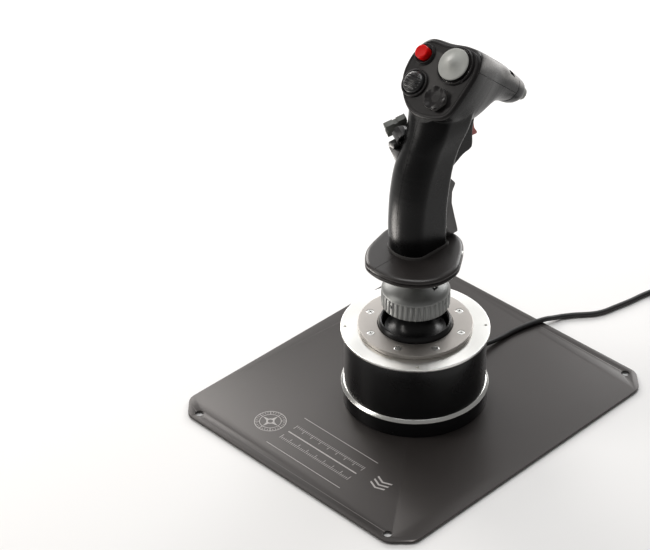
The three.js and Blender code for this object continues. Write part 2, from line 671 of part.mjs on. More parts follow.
// pockets for the trigger and the paddle lever
const triggerPocket = () => crossPrism([
  [45, 226], [70, 226], [70, 246], [58.5, 250], [56, 257.5], [45, 257.5],
], TRIGGER_HALF_WIDTH + 0.9);
const paddlePocket = () => box(
  [-PADDLE_HALF_WIDTH - 0.6, 12, 148],
  [PADDLE_HALF_WIDTH + 0.6, 30, 210.5],
);
const TRIGGER_PIN_HALF = 8.6;
const PADDLE_PIN_HALF = 15;
const pinBores = () => [
  crossRod(PIN_RADIUS + CLEARANCE, TRIGGER_PIVOT, TRIGGER_PIN_HALF + CLEARANCE),
  crossRod(PIN_RADIUS + CLEARANCE, PADDLE_PIVOT, PADDLE_PIN_HALF + CLEARANCE),
];
const SEAM_AT_FACE = 19.5; // the cover's seam climbs from here, at the face,
const SEAM_AT_NOSE = 31.5; // to here, at the nose
const COVER_FRONT = 80;

/** Everything above the seam between the head's cover and the two shells. */
function aboveSeam(offset) {
  const reach = 120;
  const slope = (SEAM_AT_NOSE - SEAM_AT_FACE) / HEAD_DEPTH;
  const start = SEAM_AT_FACE + offset;
  const wedge = crossPrism([
    [start - slope * reach, reach],
    [start + slope * reach, -reach],
    [reach, -reach],
    [reach, reach],
  ], 60);
  return fromHead(wedge);
}

const headSlab = (fromDepth, toDepth) => fromHead(box([-60, -80, -toDepth], [60, 80, -fromDepth]));
const hollow = () => join(
  cut(handle(GRIP_WALL), box([-40, -40, 140], [40, 60, 151])),
  common(headBody(GRIP_WALL), headSlab(-1, COVER_FRONT - 4)),
);
const faceRecess = () => headSlab(-5, FACE_PLATE_THICKNESS + CLEARANCE);
const noseCut = () => headSlab(COVER_FRONT + CLEARANCE, HEAD_DEPTH + 10);
const gripBody = cut(
  join(handle(), neckFront(), headBody()),
  hollow(),
  faceRecess(),
  noseCut(),
  triggerPocket(),
  paddlePocket(),
  rod(SHAFT_RADIUS + CLEARANCE, 140, 164),
  ...pinBores(),
);

const lowerBody = cut(gripBody, aboveSeam(-CLEARANCE / 2));
const halfSpace = (side) => (side > 0
  ? box([0.1, -90, 140], [90, 160, 360])
  : box([-90, -90, 140], [-0.1, 160, 360]));
add('grip_shell_right', common(lowerBody, halfSpace(1)), materials.grip);
add('grip_shell_left', common(lowerBody, halfSpace(-1)), materials.grip);
add('head_cover', common(gripBody, aboveSeam(CLEARANCE / 2)), materials.grip);

/** The head's section numbers at any depth. */
function sectionAt(depth) {
  const next = HEAD_SECTIONS.findIndex((section) => section[0] >= depth);
  const [before, after] = [HEAD_SECTIONS[Math.max(next - 1, 0)], HEAD_SECTIONS[next]];
  const part = next === 0 ? 0 : (depth - before[0]) / (after[0] - before[0]);
  return before.map((value, i) => value + (after[i] - value) * part);
}

add('grip_circuit_board', box([-8, -4, 170], [8, -2.4, 222]), materials.board);

// ---------------------------------------------------------------- trigger and paddle lever

const TRIGGER_OUTLINE = [
  [52.5, 255], [57.3, 246.5], [57.2, 240], [58.2, 233.5], [62.2, 228.2], [61.4, 226.8], [54.6, 227.6],
  [53.6, 233], [53.2, 240], [47.5, 247], [46.5, 252], [48.5, 255.5],
];
add('trigger', cut(
  crossPrism(TRIGGER_OUTLINE, TRIGGER_HALF_WIDTH),
  crossRod(PIN_RADIUS + CLEARANCE, TRIGGER_PIVOT, 10),
), materials.triggerRed);
add('trigger_pin', crossRod(PIN_RADIUS, TRIGGER_PIVOT, TRIGGER_PIN_HALF), materials.steel);

const PADDLE_OUTLINE = [
  [17, 150.2], [36.2, 150.2], [35.2, 155], [31.8, 167], [28.4, 180], [28.6, 190], [32.2, 196.4],
  [30.8, 198.4], [24, 206.2], [20.5, 207], [16.6, 204], [12.8, 170], [12.8, 160],
];
const PADDLE_HOLLOW = [
  [8, 148], [33.6, 148], [32.6, 155], [29.2, 167], [25.8, 180], [26, 190], [28.6, 196], [20.4, 204.4],
  [8, 204.4],
];
add('paddle_lever', cut(
  crossPrism(PADDLE_OUTLINE, PADDLE_HALF_WIDTH),
  crossPrism(PADDLE_HOLLOW, PADDLE_HALF_WIDTH - 2.2),
  crossRod(PIN_RADIUS + CLEARANCE, PADDLE_PIVOT, 20),
), materials.darkGrey);
add('paddle_pin', crossRod(PIN_RADIUS, PADDLE_PIVOT, PADDLE_PIN_HALF), materials.steel);

// ---------------------------------------------------------------- face and its controls

const at = (geometry, { x, y }) => geometry.translate(x, y, 0);
const STEM_RADIUS = 2.8;
const STEM_HOLE = 5.4;
const ROCKER_HEIGHT = -4; // the hats' two tilt axes cross here, behind the face plate

function facePlate() {
  const slab = loft([headSection(sectionAt(0), 0), headSection(sectionAt(FACE_PLATE_THICKNESS), 0)]);
  const hatHoles = [TRIM_HAT, SCALLOPED_HAT, RIDGED_HAT].map((hat) => at(rod(STEM_HOLE, -5, 5), hat));
  return cut(slab, ...hatHoles, at(rod(RELEASE_BUTTON.radius + 0.5, -5, 5), RELEASE_BUTTON));
}
add('face_plate', facePlate(), materials.grip, head);

/** The small ring between a hat's stem and its switch: it tilts one way, and the hat the other. */
const rocker = () => tube(3.3, 4.6, ROCKER_HEIGHT - 0.9, ROCKER_HEIGHT + 0.9, TINY_ROUND);
const stem = (top) => rod(STEM_RADIUS, ROCKER_HEIGHT - 1.6, top, TINY_ROUND);

/** A raised ring round a control. */
const bezel = (inner, lip, outer, height) => turnedRing([
  [inner, GAP],
  [outer, GAP],
  [outer, height - 0.6],
  [outer - 0.6, height],
  [lip, height],
  [lip, 0.9],
  [inner, 0.9],
], SMALL_ROUND);

add('trim_bezel', at(bezel(STEM_HOLE, 14.3, TRIM_HAT.bezel, 1.9), TRIM_HAT), materials.grip, head);
add('trim_rocker', at(rocker(), TRIM_HAT), materials.steel, head);
const trimCap = turned([
  [0, 3.2], [11.8, 3.2], [TRIM_HAT.radius, 3.9], [TRIM_HAT.radius, 4.6], [12.2, 5.4], [8, 6.3],
  [4.5, 7.5], [1.6, 9], [0, 9.3],
], SMALL_ROUND);
add('trim_hat', at(join(trimCap, stem(3.8)), TRIM_HAT), materials.lightGrey, head);

add('ridged_bezel', at(bezel(STEM_HOLE, 9.9, RIDGED_HAT.bezel, 2.2), RIDGED_HAT), materials.grip, head);
add('ridged_rocker', at(rocker(), RIDGED_HAT), materials.steel, head);
function ridgedCap() {
  const cap = turned([
    [0, 2.4], [RIDGED_HAT.radius - 0.6, 2.4], [RIDGED_HAT.radius, 3], [RIDGED_HAT.radius - 0.4, 4.6],
    [5.5, 6], [0, 6.6],
  ], SMALL_ROUND);
  const grooves = [-3, -1, 1, 3].map((step) => box([-6, step * 1.6 - 0.4, 5], [6, step * 1.6 + 0.4, 8]));
  return join(cut(cap, ...grooves), stem(3));
}
add('ridged_hat', at(ridgedCap(), RIDGED_HAT), materials.blackPaint, head);

add('scalloped_rocker', at(rocker(), SCALLOPED_HAT), materials.steel, head);
function scallopedCap() {
  const outline = Array.from({ length: 36 }, (_, i) => {
    const angle = 2 * Math.PI * i / 36;
    const radius = SCALLOPED_HAT.radius - 0.6 + 0.6 * Math.cos(6 * angle);
    return [radius * Math.cos(angle), radius * Math.sin(angle)];
  });
  const dish = new THREE.SphereGeometry(22, 16, 16).translate(0, 0, 26.6);
  return join(cut(prism(outline, 2, 5.4), dish), stem(3));
}
add('scalloped_hat', at(scallopedCap(), SCALLOPED_HAT), materials.grip, head);

add('release_bezel', at(bezel(6.2, 7.6, RELEASE_BUTTON.bezel, 2.4), RELEASE_BUTTON), materials.grip, head);
add('release_button', at(turned([
  [0, -4], [RELEASE_BUTTON.radius, -4], [RELEASE_BUTTON.radius, 6.2], [RELEASE_BUTTON.radius - 0.6, 6.9],
  [0, 7.1],
], SMALL_ROUND), RELEASE_BUTTON), materials.red, head);

// ---------------------------------------------------------------- nose

// the nose button's own axes: Z points back into the nose
const nose = new THREE.Group();
nose.position.copy(NOSE_PLACE);
nose.rotation.set(NOSE_PITCH, -NOSE_YAW, 0, 'YXZ');
nose.updateMatrix();
head.add(nose);

const NOSE_RING_INNER = NOSE_BUTTON_RADIUS + 0.4;
const NOSE_RING_OUTER = 7;
function noseCap() {
  const start = COVER_FRONT + CLEARANCE + 0.1;
  const cap = loft([start, 90, HEAD_DEPTH].map((depth) => headSection(sectionAt(depth), 0)));
  const beyond = box([-30, -30, -20], [30, 30, 0]).applyMatrix4(nose.matrix);
  const bore = rod(NOSE_RING_OUTER + CLEARANCE, -8, 9).applyMatrix4(nose.matrix);
  return cut(cap, beyond, bore);
}
add('nose_cap', noseCap(), materials.grip, head);
add('nose_bezel', turnedRing([
  [NOSE_RING_INNER, 8.5],
  [NOSE_RING_OUTER, 8.5],
  [NOSE_RING_OUTER, -1],
  [NOSE_RING_OUTER - 0.7, -1.6],
  [NOSE_RING_INNER, -1.6],
], SMALL_ROUND), materials.blackPaint, nose);
add('nose_button', turned([
  [0, 6],
  [NOSE_BUTTON_RADIUS, 6],
  [NOSE_BUTTON_RADIUS, -7],
  [NOSE_BUTTON_RADIUS - 0.6, -7.6],
  [0, -7.6],
], SMALL_ROUND), materials.lightGrey, nose);

// ---------------------------------------------------------------- left side: hat and mode button

/** A prism along Y, from an outline of [x, z] points. */
const lengthPrism = (outline, fromY, toY) => prism(outline, -toY, -fromY).rotateX(Math.PI / 2);

// the side hat's own axes: Z looks out to the left, Y is the top of its cap
const sideHatGroup = new THREE.Group();
const sideOut = new THREE.Vector3(-0.89, 0.357, 0.27).normalize();
const sideUp = new THREE.Vector3(0.124, -0.395, 0.906).projectOnPlane(sideOut).normalize();
const sideAcross = new THREE.Vector3().crossVectors(sideUp, sideOut);
sideHatGroup.position.set(-25.2, 4.2, 243.6);
sideHatGroup.setRotationFromMatrix(new THREE.Matrix4().makeBasis(sideAcross, sideUp, sideOut));
sideHatGroup.updateMatrix();
joystick.add(sideHatGroup);

const SIDE_ROCKER = -5.6;
const MODE_BUTTON = {
  left: -24.3, right: -18.3, near: -6.8, far: 4.8, bottom: 231.7, top: 236, travel: 1.2,
};
const modeButton = (extra = 0, travel = 0) => box(
  [MODE_BUTTON.left - extra, MODE_BUTTON.near - extra, MODE_BUTTON.bottom - extra],
  [MODE_BUTTON.right + travel + extra, MODE_BUTTON.far + extra, MODE_BUTTON.top + extra],
);
const gripOutside = () => [handle(-0.2), headBody(-0.2), neckFront()];
function sideHousing() {
  const wedge = lengthPrism([[-12, 214], [-24, 230.5], [-24, 231.3], [-12, 231.3]], -6.2, 15);
  const shelf = lengthPrism([[-12, 231], [-23.4, 231], [-23.4, 235.2], [-19, 238], [-12, 239]], 5.2, 15);
  const boss = tube(5, 6.4, -14, SIDE_ROCKER + 1.4, TINY_ROUND).applyMatrix4(sideHatGroup.matrix);
  const well = rod(5, -9, 12, TINY_ROUND).applyMatrix4(sideHatGroup.matrix);
  return cut(join(wedge, shelf, boss), well, modeButton(CLEARANCE, MODE_BUTTON.travel), ...gripOutside());
}
add('side_housing', sideHousing(), materials.grip);
const sideRocker = tube(3.3, 4.5, SIDE_ROCKER - 0.9, SIDE_ROCKER + 0.9, TINY_ROUND);
add('side_rocker', sideRocker, materials.steel, sideHatGroup);

function sideHat() {
  const [halfLength, halfHeight, thickness] = [9, 6.2, 5];
  const [notch, depth] = [1.6, 1.1]; // half the width and the depth of the notch in each edge
  const cap = box([-halfLength, -halfHeight, 0], [halfLength, halfHeight, thickness]);
  const notches = [
    box([-notch, halfHeight - depth, -1], [notch, halfHeight + 1, 9]),
    box([-notch, -halfHeight - 1, -1], [notch, -halfHeight + depth, 9]),
    box([halfLength - depth, -notch, -1], [halfLength + 1, notch, 9]),
    box([-halfLength - 1, -notch, -1], [-halfLength + depth, notch, 9]),
  ];
  return join(cut(cap, ...notches), rod(STEM_RADIUS, SIDE_ROCKER - 1.3, 1, TINY_ROUND));
}
add('side_hat', sideHat(), materials.darkGrey, sideHatGroup);

add('mode_button', modeButton(), materials.blackPaint);

export default joystick;
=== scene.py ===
"""The looks of a desktop flight joystick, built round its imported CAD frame."""
import json
import math

import bmesh
import bpy
from mathutils import Matrix, Vector


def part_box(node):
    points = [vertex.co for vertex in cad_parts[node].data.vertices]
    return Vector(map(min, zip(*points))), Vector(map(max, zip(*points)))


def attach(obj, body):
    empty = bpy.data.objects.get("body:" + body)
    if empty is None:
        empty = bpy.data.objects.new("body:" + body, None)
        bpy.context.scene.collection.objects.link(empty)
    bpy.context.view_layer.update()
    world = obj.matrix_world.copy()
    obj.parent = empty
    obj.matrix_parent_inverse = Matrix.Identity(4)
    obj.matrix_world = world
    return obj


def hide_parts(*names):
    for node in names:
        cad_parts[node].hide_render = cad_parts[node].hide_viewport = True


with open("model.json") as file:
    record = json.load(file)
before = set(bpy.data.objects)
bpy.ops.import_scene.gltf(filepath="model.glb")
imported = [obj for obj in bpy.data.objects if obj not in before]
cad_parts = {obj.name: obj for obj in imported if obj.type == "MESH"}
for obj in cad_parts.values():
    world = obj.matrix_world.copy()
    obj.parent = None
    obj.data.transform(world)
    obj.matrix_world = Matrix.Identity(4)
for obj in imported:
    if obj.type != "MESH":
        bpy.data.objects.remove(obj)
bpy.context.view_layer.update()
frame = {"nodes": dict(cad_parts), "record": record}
nodes = frame["nodes"]
TAU = 2 * math.pi
MM = 0.001

# ---------------------------------------------------------------- camera, floor and light


CAMERA_LENS = 123.62
CAMERA_PLACE = (1.00056, -1.07292, 1.11597)
CAMERA_ANGLES = (45.82, 34.16, -0.9)  # azimuth, elevation and roll
SKY_STRENGTH = 0.22
# name, place, target, size, watts and colour
LIGHTS = [
    ("overhead", (-0.2, 0.2, 2.2), (0, 0, 0), (1.2, 1.2), 19, (1, 1, 1)),
    ("back_sky", (-1.35, 1.3, 1.3), (0, 0, 0.07), (1.4, 1.1), 6, (1, 1, 1)),
    ("back_left", (-1.45, 0.4, 0.75), (0, 0, 0.1), (0.7, 0.7), 12, (1, 0.97, 0.94)),
    ("back_right", (-0.35, 1.5, 0.75), (0, 0, 0.1), (0.7, 0.7), 11, (1, 1, 1)),
    ("left_strip", (-0.7, -0.8, 0.7), (0, 0, 0.2), (0.3, 1.0), 5, (1, 0.97, 0.93)),
    ("left_floor", (-0.23, -0.2, 0.012), (-0.23, -0.2, 1), (0.16, 0.14), 1.1, (1, 0.95, 0.9)),
    ("back_floor", (0.0, 1.25, 0.012), (0.0, 1.25, 1), (1.0, 0.8), 5, (1, 0.96, 0.92)),
]


def make_camera():
    data = bpy.data.cameras.new("camera")
    data.sensor_width = 36
    data.lens = CAMERA_LENS
    camera = bpy.data.objects.new("camera", data)
    bpy.context.collection.objects.link(camera)
    azimuth, elevation, roll = [math.radians(angle) for angle in CAMERA_ANGLES]
    back = Vector((
        math.sin(azimuth) * math.cos(elevation),
        -math.cos(azimuth) * math.cos(elevation),
        math.sin(elevation),
    ))
    level = Vector((math.cos(azimuth), math.sin(azimuth), 0))
    upright = back.cross(level)
    right = level * math.cos(roll) + upright * math.sin(roll)
    up = back.cross(right)
    turn = Matrix((right, up, back)).transposed().to_4x4()
    camera.matrix_world = Matrix.Translation(CAMERA_PLACE) @ turn
    bpy.context.scene.camera = camera


def area_light(name, place, target, size, watts, color):
    data = bpy.data.lights.new(name, "AREA")
    data.shape = "RECTANGLE"
    data.size, data.size_y = size
    data.energy = watts
    data.color = color
    light = bpy.data.objects.new(name, data)
    light.location = place
    aim = Vector(target) - Vector(place)
    light.rotation_euler = aim.to_track_quat("-Z", "Y").to_euler()
    light.visible_camera = False
    bpy.context.collection.objects.link(light)


def make_studio():
    world = bpy.data.worlds.new("studio")
    bpy.context.scene.world = world
    world.use_nodes = True
    background = world.node_tree.nodes["Background"]
    background.inputs["Color"].default_value = (1.0, 0.985, 0.97, 1)
    background.inputs["Strength"].default_value = SKY_STRENGTH
    for light in LIGHTS:
        area_light(*light)
    bpy.context.scene.view_settings.view_transform = "Standard"
    bpy.ops.mesh.primitive_plane_add(size=14)
    floor = bpy.context.object
    floor.name = "floor"
    paper = bpy.data.materials.new("paper")
    paper.use_nodes = True
    shader = paper.node_tree.nodes["Principled BSDF"]
    shader.inputs["Base Color"].default_value = (0.86, 0.855, 0.85, 1)
    shader.inputs["Roughness"].default_value = 0.7
    floor.data.materials.append(paper)


make_camera()
make_studio()

# ---------------------------------------------------------------- materials


def add_node(tree, kind, **values):
    node = tree.nodes.new(kind)
    for name, value in values.items():
        if hasattr(node, name):
            setattr(node, name, value)
        else:
            node.inputs[name.replace("_", " ")].default_value = value
    return node


LOOKS = {}


def surface(name, color, roughness, metallic=0.0, tint=0.15, mottle=30, spread=0.06, grain=1800,
            relief=0.12, edge_wear_and_highlight=None, coat=0.0, anisotropic=0.0, rings=0, shine=0.5):
    """Adds a material with uneven colour and roughness, a fine grain, and lighter convex edges where an edge
    colour is given, partly wear and partly a painted edge highlight. rings is the number of turning marks per
    metre on a piece turned about Z."""
    material = bpy.data.materials.new(name)
    material.use_nodes = True
    tree = material.node_tree
    shader = tree.nodes["Principled BSDF"]
    shader.inputs["Metallic"].default_value = metallic
    shader.inputs["Coat Weight"].default_value = coat
    shader.inputs["Coat Roughness"].default_value = 0.15
    shader.inputs["Anisotropic"].default_value = anisotropic
    shader.inputs["Specular IOR Level"].default_value = shine
    link = tree.links.new
    place = add_node(tree, "ShaderNodeTexCoord")
    clouds = add_node(tree, "ShaderNodeTexNoise", Scale=mottle, Detail=4.0)
    link(place.outputs["Object"], clouds.inputs["Vector"])
    dark = [c * (1 - tint) for c in color] + [1]
    light = [min(1, c * (1 + tint)) for c in color] + [1]
    ramp = add_node(tree, "ShaderNodeValToRGB")
    ramp.color_ramp.elements[0].position, ramp.color_ramp.elements[0].color = 0.3, dark
    ramp.color_ramp.elements[1].position, ramp.color_ramp.elements[1].color = 0.7, light
    link(clouds.outputs["Fac"], ramp.inputs["Fac"])
    colour_out = ramp.outputs["Color"]
    # convex edges are lightened by pointiness: partly rubbed wear, partly a painted edge highlight
    if edge_wear_and_highlight:
        edges = add_node(tree, "ShaderNodeNewGeometry")
        sharp = add_node(tree, "ShaderNodeMapRange", From_Min=0.54, From_Max=0.64)
        link(edges.outputs["Pointiness"], sharp.inputs["Value"])
        edge_wear_and_highlight_mix = add_node(tree, "ShaderNodeMix", data_type="RGBA")
        link(sharp.outputs["Result"], edge_wear_and_highlight_mix.inputs["Factor"])
        plain, worn_and_lit_edge = [socket for socket in edge_wear_and_highlight_mix.inputs if socket.type == "RGBA"]
        link(colour_out, plain)
        worn_and_lit_edge.default_value = (*edge_wear_and_highlight, 1)
        colour_out = next(socket for socket in edge_wear_and_highlight_mix.outputs if socket.type == "RGBA")
    link(colour_out, shader.inputs["Base Color"])
    if rings:
        flat = add_node(tree, "ShaderNodeVectorMath", operation="MULTIPLY")
        flat.inputs[1].default_value = (1, 1, 0)
        link(place.outputs["Object"], flat.inputs[0])
        radius = add_node(tree, "ShaderNodeVectorMath", operation="LENGTH")
        link(flat.outputs["Vector"], radius.inputs[0])
        fine = add_node(tree, "ShaderNodeTexNoise", noise_dimensions="1D", Scale=rings, Detail=3.0)
        link(radius.outputs["Value"], fine.inputs["W"])
        tangent = add_node(tree, "ShaderNodeTangent", direction_type="RADIAL", axis="Z")
        link(tangent.outputs["Tangent"], shader.inputs["Tangent"])
    else:
        fine = add_node(tree, "ShaderNodeTexNoise", Scale=grain, Detail=2.0)
        link(place.outputs["Object"], fine.inputs["Vector"])
    gloss = add_node(tree, "ShaderNodeMapRange", To_Min=max(0.03, roughness - spread),
                     To_Max=roughness + spread)
    link((fine if rings else clouds).outputs["Fac"], gloss.inputs["Value"])
    link(gloss.outputs["Result"], shader.inputs["Roughness"])
    bump = add_node(tree, "ShaderNodeBump", Strength=relief, Distance=0.0002)
    link(fine.outputs["Fac"], bump.inputs["Height"])
    link(bump.outputs["Normal"], shader.inputs["Normal"])
    LOOKS[name] = material


# the edge colours given below lighten convex edges: partly wear, partly a painted edge highlight
surface("plate_paint", (0.042, 0.037, 0.035), 0.36, 0.35, 0.08, 6, 0.03, 2600, 0.1,
        edge_wear_and_highlight=(0.3, 0.28, 0.27))
surface("black_paint", (0.007, 0.007, 0.0075), 0.28, 0.0, 0.2, 30, 0.04, 2200, 0.05, shine=0.3)
surface("polished_trim", (0.8, 0.8, 0.775), 0.22, 1.0, 0.03, 60, 0.03, rings=4000, relief=0.04)
surface("brushed_disc", (0.88, 0.875, 0.845), 0.3, 1.0, 0.02, 40, 0.04, rings=4000,
        relief=0.06, anisotropic=0.8)
surface("satin_ring", (0.44, 0.415, 0.39), 0.38, 0.85, 0.04, 40, 0.04, 3000, 0.1,
        anisotropic=0.3)
surface("plain_steel", (0.66, 0.66, 0.64), 0.32, 1.0, 0.06, 120, 0.08, 2500, 0.12)
surface("collar_metal", (0.23, 0.235, 0.23), 0.42, 0.6, 0.07, 90, 0.07, 2400, 0.18,
        edge_wear_and_highlight=(0.6, 0.6, 0.6))
surface("grip_plastic", (0.004, 0.004, 0.0042), 0.27, 0.0, 0.2, 60, 0.03, 2600, 0.06,
        shine=0.16)
surface("rest_plastic", (0.024, 0.021, 0.02), 0.32, 0.15, 0.12, 40, 0.04, 2600, 0.08)
surface("face_plastic", (0.013, 0.0118, 0.012), 0.36, 0.0, 0.2, 60, 0.04, 2200, 0.12,
        edge_wear_and_highlight=(0.14, 0.135, 0.13), shine=0.2)
surface("black_plastic", (0.009, 0.009, 0.0095), 0.3, 0.0, 0.2, 80, 0.05, 2400, 0.06,
        edge_wear_and_highlight=(0.07, 0.07, 0.07))
surface("light_grey", (0.36, 0.365, 0.345), 0.5, 0.0, 0.08, 120, 0.06, 2600, 0.1, shine=0.3)
surface("dark_grey", (0.1, 0.104, 0.095), 0.45, 0.0, 0.12, 150, 0.05, 2600, 0.12,
        edge_wear_and_highlight=(0.14, 0.145, 0.135))
surface("button_red", (0.6, 0.003, 0.003), 0.3, 0.0, 0.06, 200, 0.04, 2400, 0.04, shine=0.15)
surface("trigger_red", (0.4, 0.075, 0.06), 0.42, 0.0, 0.1, 120, 0.05, 2600, 0.1)
surface("paddle_paint", (0.05, 0.048, 0.047), 0.3, 0.6, 0.12, 60, 0.05, 2200, 0.08,
        edge_wear_and_highlight=(0.3, 0.3, 0.3))
surface("rubber", (0.012, 0.012, 0.0125), 0.5, 0.0, 0.2, 90, 0.06, 1800, 0.12)
surface("circuit_board", (0.02, 0.12, 0.05), 0.4, 0.0, 0.2, 160, 0.05, 900, 0.2)
surface("plate_mark", (0.42, 0.4, 0.39), 0.5, 0.0, 0.1, 300, 0.04, 2600, 0.05)

for part in frame["record"]["subparts"]:
    node = nodes[part["node"]]
    node.data.materials.clear()
    node.data.materials.append(LOOKS[part["material_slot"]])

# ---------------------------------------------------------------- mesh helpers (millimetres)


def rounded(points, cut, closed=True, steps=4):
    """A polyline whose corners are rounded, each starting a cut distance before its corner."""
    out = []
    count = len(points)
    for i, point in enumerate(points):
        if not closed and i in (0, count - 1):
            out.append(tuple(point))
            continue
        here, before, after = Vector(point), Vector(points[i - 1]), Vector(points[(i + 1) % count])
        toward, away = before - here, after - here
        start = here + toward * min(cut / toward.length, 0.48)
        end = here + away * min(cut / away.length, 0.48)
        for k in range(steps + 1):
            t = k / steps
            out.append(tuple(start * (1 - t) ** 2 + here * 2 * t * (1 - t) + end * t ** 2))
    return out


def smooth_line(points, count, closed=True):
    """Evenly parameterised points on a Catmull-Rom curve through the given ones."""
    size = len(points)
    spans = size if closed else size - 1
    knots = [Vector(p) for p in points]

    def knot(i):
        return knots[i % size] if closed else knots[max(0, min(size - 1, i))]

    out = []
    for k in range(count):
        place = k * spans / (count if closed else count - 1)
        i = min(int(place), spans - 1)
        t = place - i
        a, b, c, d = knot(i - 1), knot(i), knot(i + 1), knot(i + 2)
        out.append(0.5 * (2 * b + (c - a) * t + (2 * a - 5 * b + 4 * c - d) * t ** 2
                          + (3 * b - a - 3 * c + d) * t ** 3))
    return out


def lathe(profile, segments=128, closed=False, reach=None):
    """Vertices and faces turned about Z from (radius, height) points. reach(radius, height, angle) may
    change the radius round the turn."""
    verts, rows = [], []
    for radius, height in profile:
        on_axis = radius < 1e-6
        row = []
        for i in range(1 if on_axis else segments):
            angle = TAU * i / segments
            r = reach(radius, height, angle) if reach and not on_axis else radius
            row.append(len(verts))
            verts.append((r * math.cos(angle), r * math.sin(angle), height))
        rows.append(row)
    faces = []
    pairs = list(zip(rows, rows[1:])) + ([(rows[-1], rows[0])] if closed else [])
    for low, high in pairs:
        for i in range(segments):
            j = (i + 1) % segments
            corners = [low[i % len(low)], low[j % len(low)], high[j % len(high)], high[i % len(high)]]
            corners = list(dict.fromkeys(corners))
            if len(corners) > 2:
                faces.append(corners)
    return verts, faces


def loft(sections):
    """Vertices and faces through loops of equal length, closed at both ends."""
    count = len(sections[0])
    verts = [tuple(p) for section in sections for p in section]
    faces = []
    for s in range(len(sections) - 1):
        for i in range(count):
            j = (i + 1) % count
            faces.append([s * count + i, s * count + j, (s + 1) * count + j, (s + 1) * count + i])
    faces.append(list(range(count))[::-1])
    faces.append(list(range(len(verts) - count, len(verts))))
    return verts, faces


def ring_loft(sections):
    """Vertices and faces through loops of equal length, the last one joined to the first."""
    rows, count = len(sections), len(sections[0])
    verts = [tuple(p) for section in sections for p in section]
    faces = []
    for s in range(rows):
        t = (s + 1) % rows
        for i in range(count):
            j = (i + 1) % count
            faces.append([s * count + i, s * count + j, t * count + j, t * count + i])
    return verts, faces


def cylinder(radius, low, high, segments=64):
    return lathe([(0, low), (radius, low), (radius, high), (0, high)], segments)


def prism(outline, low, high):
    return loft([[(x, y, low) for x, y in outline], [(x, y, high) for x, y in outline]])


def cross_prism(outline, half_width):
    """A prism across X from (y, z) points."""
    return loft([[(side * half_width, y, z) for y, z in outline] for side in (-1, 1)])


def block(low, high):
    (x0, y0, z0), (x1, y1, z1) = low, high
    return prism([(x0, y0), (x1, y0), (x1, y1), (x0, y1)], z0, z1)


def moved(shape, matrix):
    verts, faces = shape
    return [tuple(matrix @ Vector(v)) for v in verts], faces


def merged(*shapes):
    verts, faces = [], []
    for more_verts, more_faces in shapes:
        offset = len(verts)
        verts += more_verts
        faces += [[i + offset for i in face] for face in more_faces]
    return verts, faces


def cleaned(mesh, merge=False, flatten=False):
    """Turns a mesh's faces outwards, after joining its doubled points or its flat faces where asked."""
    work = bmesh.new()
    work.from_mesh(mesh)
    if merge:
        bmesh.ops.remove_doubles(work, verts=work.verts, dist=1e-6)
    if flatten:
        bmesh.ops.dissolve_limit(work, angle_limit=math.radians(1), verts=work.verts, edges=work.edges)
    bmesh.ops.recalc_face_normals(work, faces=work.faces)
    work.to_mesh(mesh)
    work.free()
    return mesh


def linked(name, mesh):
    obj = bpy.data.objects.new(name, mesh)
    bpy.context.collection.objects.link(obj)
    return obj


def to_object(name, shape, matrix=None):
    verts, faces = moved(shape, matrix) if matrix else shape
    mesh = bpy.data.meshes.new(name)
    mesh.from_pydata([tuple(c * MM for c in v) for v in verts], [], faces)
    return linked(name, cleaned(mesh))


def bake(obj):
    """Applies an object's modifiers to its mesh."""
    bpy.context.view_layer.update()
    seen = obj.evaluated_get(bpy.context.evaluated_depsgraph_get())
    mesh = bpy.data.meshes.new_from_object(seen)
    obj.modifiers.clear()
    obj.data = mesh
    return obj


def boolean(obj, operation, *others):
    """Cuts, joins or meets an object with others, which are used up."""
    for other in others:
        change = obj.modifiers.new("change", "BOOLEAN")
        change.operation = operation
        change.solver = "EXACT"
        change.object = other
        bake(obj)
        bpy.data.objects.remove(other)
    return obj


def bevelled(obj, width, segments=3, angle=32):
    edge = obj.modifiers.new("edge", "BEVEL")
    edge.width = width * MM
    edge.segments = segments
    edge.limit_method = "ANGLE"
    edge.angle_limit = math.radians(angle)
    return bake(obj)


def piece(obj, look, body, *replaced, sharp=38):
    """Finishes a piece: smooth shading, its material, its body and the CAD nodes that it stands for."""
    obj.data.materials.clear()
    obj.data.materials.append(LOOKS[look])
    obj.data.shade_smooth()
    obj.data.set_sharp_from_angle(angle=math.radians(sharp))
    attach(obj, body)
    if replaced:
        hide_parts(*replaced)
    return obj


def turned_piece(name, profile, look, body, *replaced, cut=0.3, segments=128, matrix=None, closed=True):
    """A turned piece whose profile's corners are rounded."""
    shape = lathe(rounded(profile, cut, closed), segments, closed)
    return piece(to_object(name, shape, matrix), look, body, *replaced)


# ---------------------------------------------------------------- cord, coil and plug

CORD_DIAMETER = 4.5
CORD_ROUTE = [
    (0, 70.5, 11), (0, 78, 9.9), (0.3, 87, 8.0), (0.8, 97, 6.4), (1.4, 108, 5.5), (2, 119, 5.3),
    (3.8, 129, 5.35), (6.1, 139, 5.4), (8.6, 147, 5.4), (11, 154, 5.1), (13, 161, 3.6), (15.6, 168.5, 2.5),
    (22, 178, 2.35), (29.2, 186.5, 2.3), (34, 193.5, 2.3), (37, 201, 2.3), (39.2, 211, 2.3),
    (41.2, 220, 2.3), (43, 229, 2.3), (44.7, 241, 2.3), (46.5, 250, 2.3), (48.5, 257, 2.3),
    (50.4, 262.5, 2.3),
]
COIL_CENTRE = (82, 274)
COIL_RADII = (27.5, 23.0, 18.5)
COIL_BOTTOM = 2.3
TURN_STEPS = 48
SHIFT_START = 0.8  # the part of each turn after which it moves to the next place
PLUG_BODY = (30.0, 15.5, 8.0)
PLUG_SHELL = (12.0, 12.0, 4.5)
PLUG_WALL = 0.35


def eased(t):
    return t * t * (3 - 2 * t)


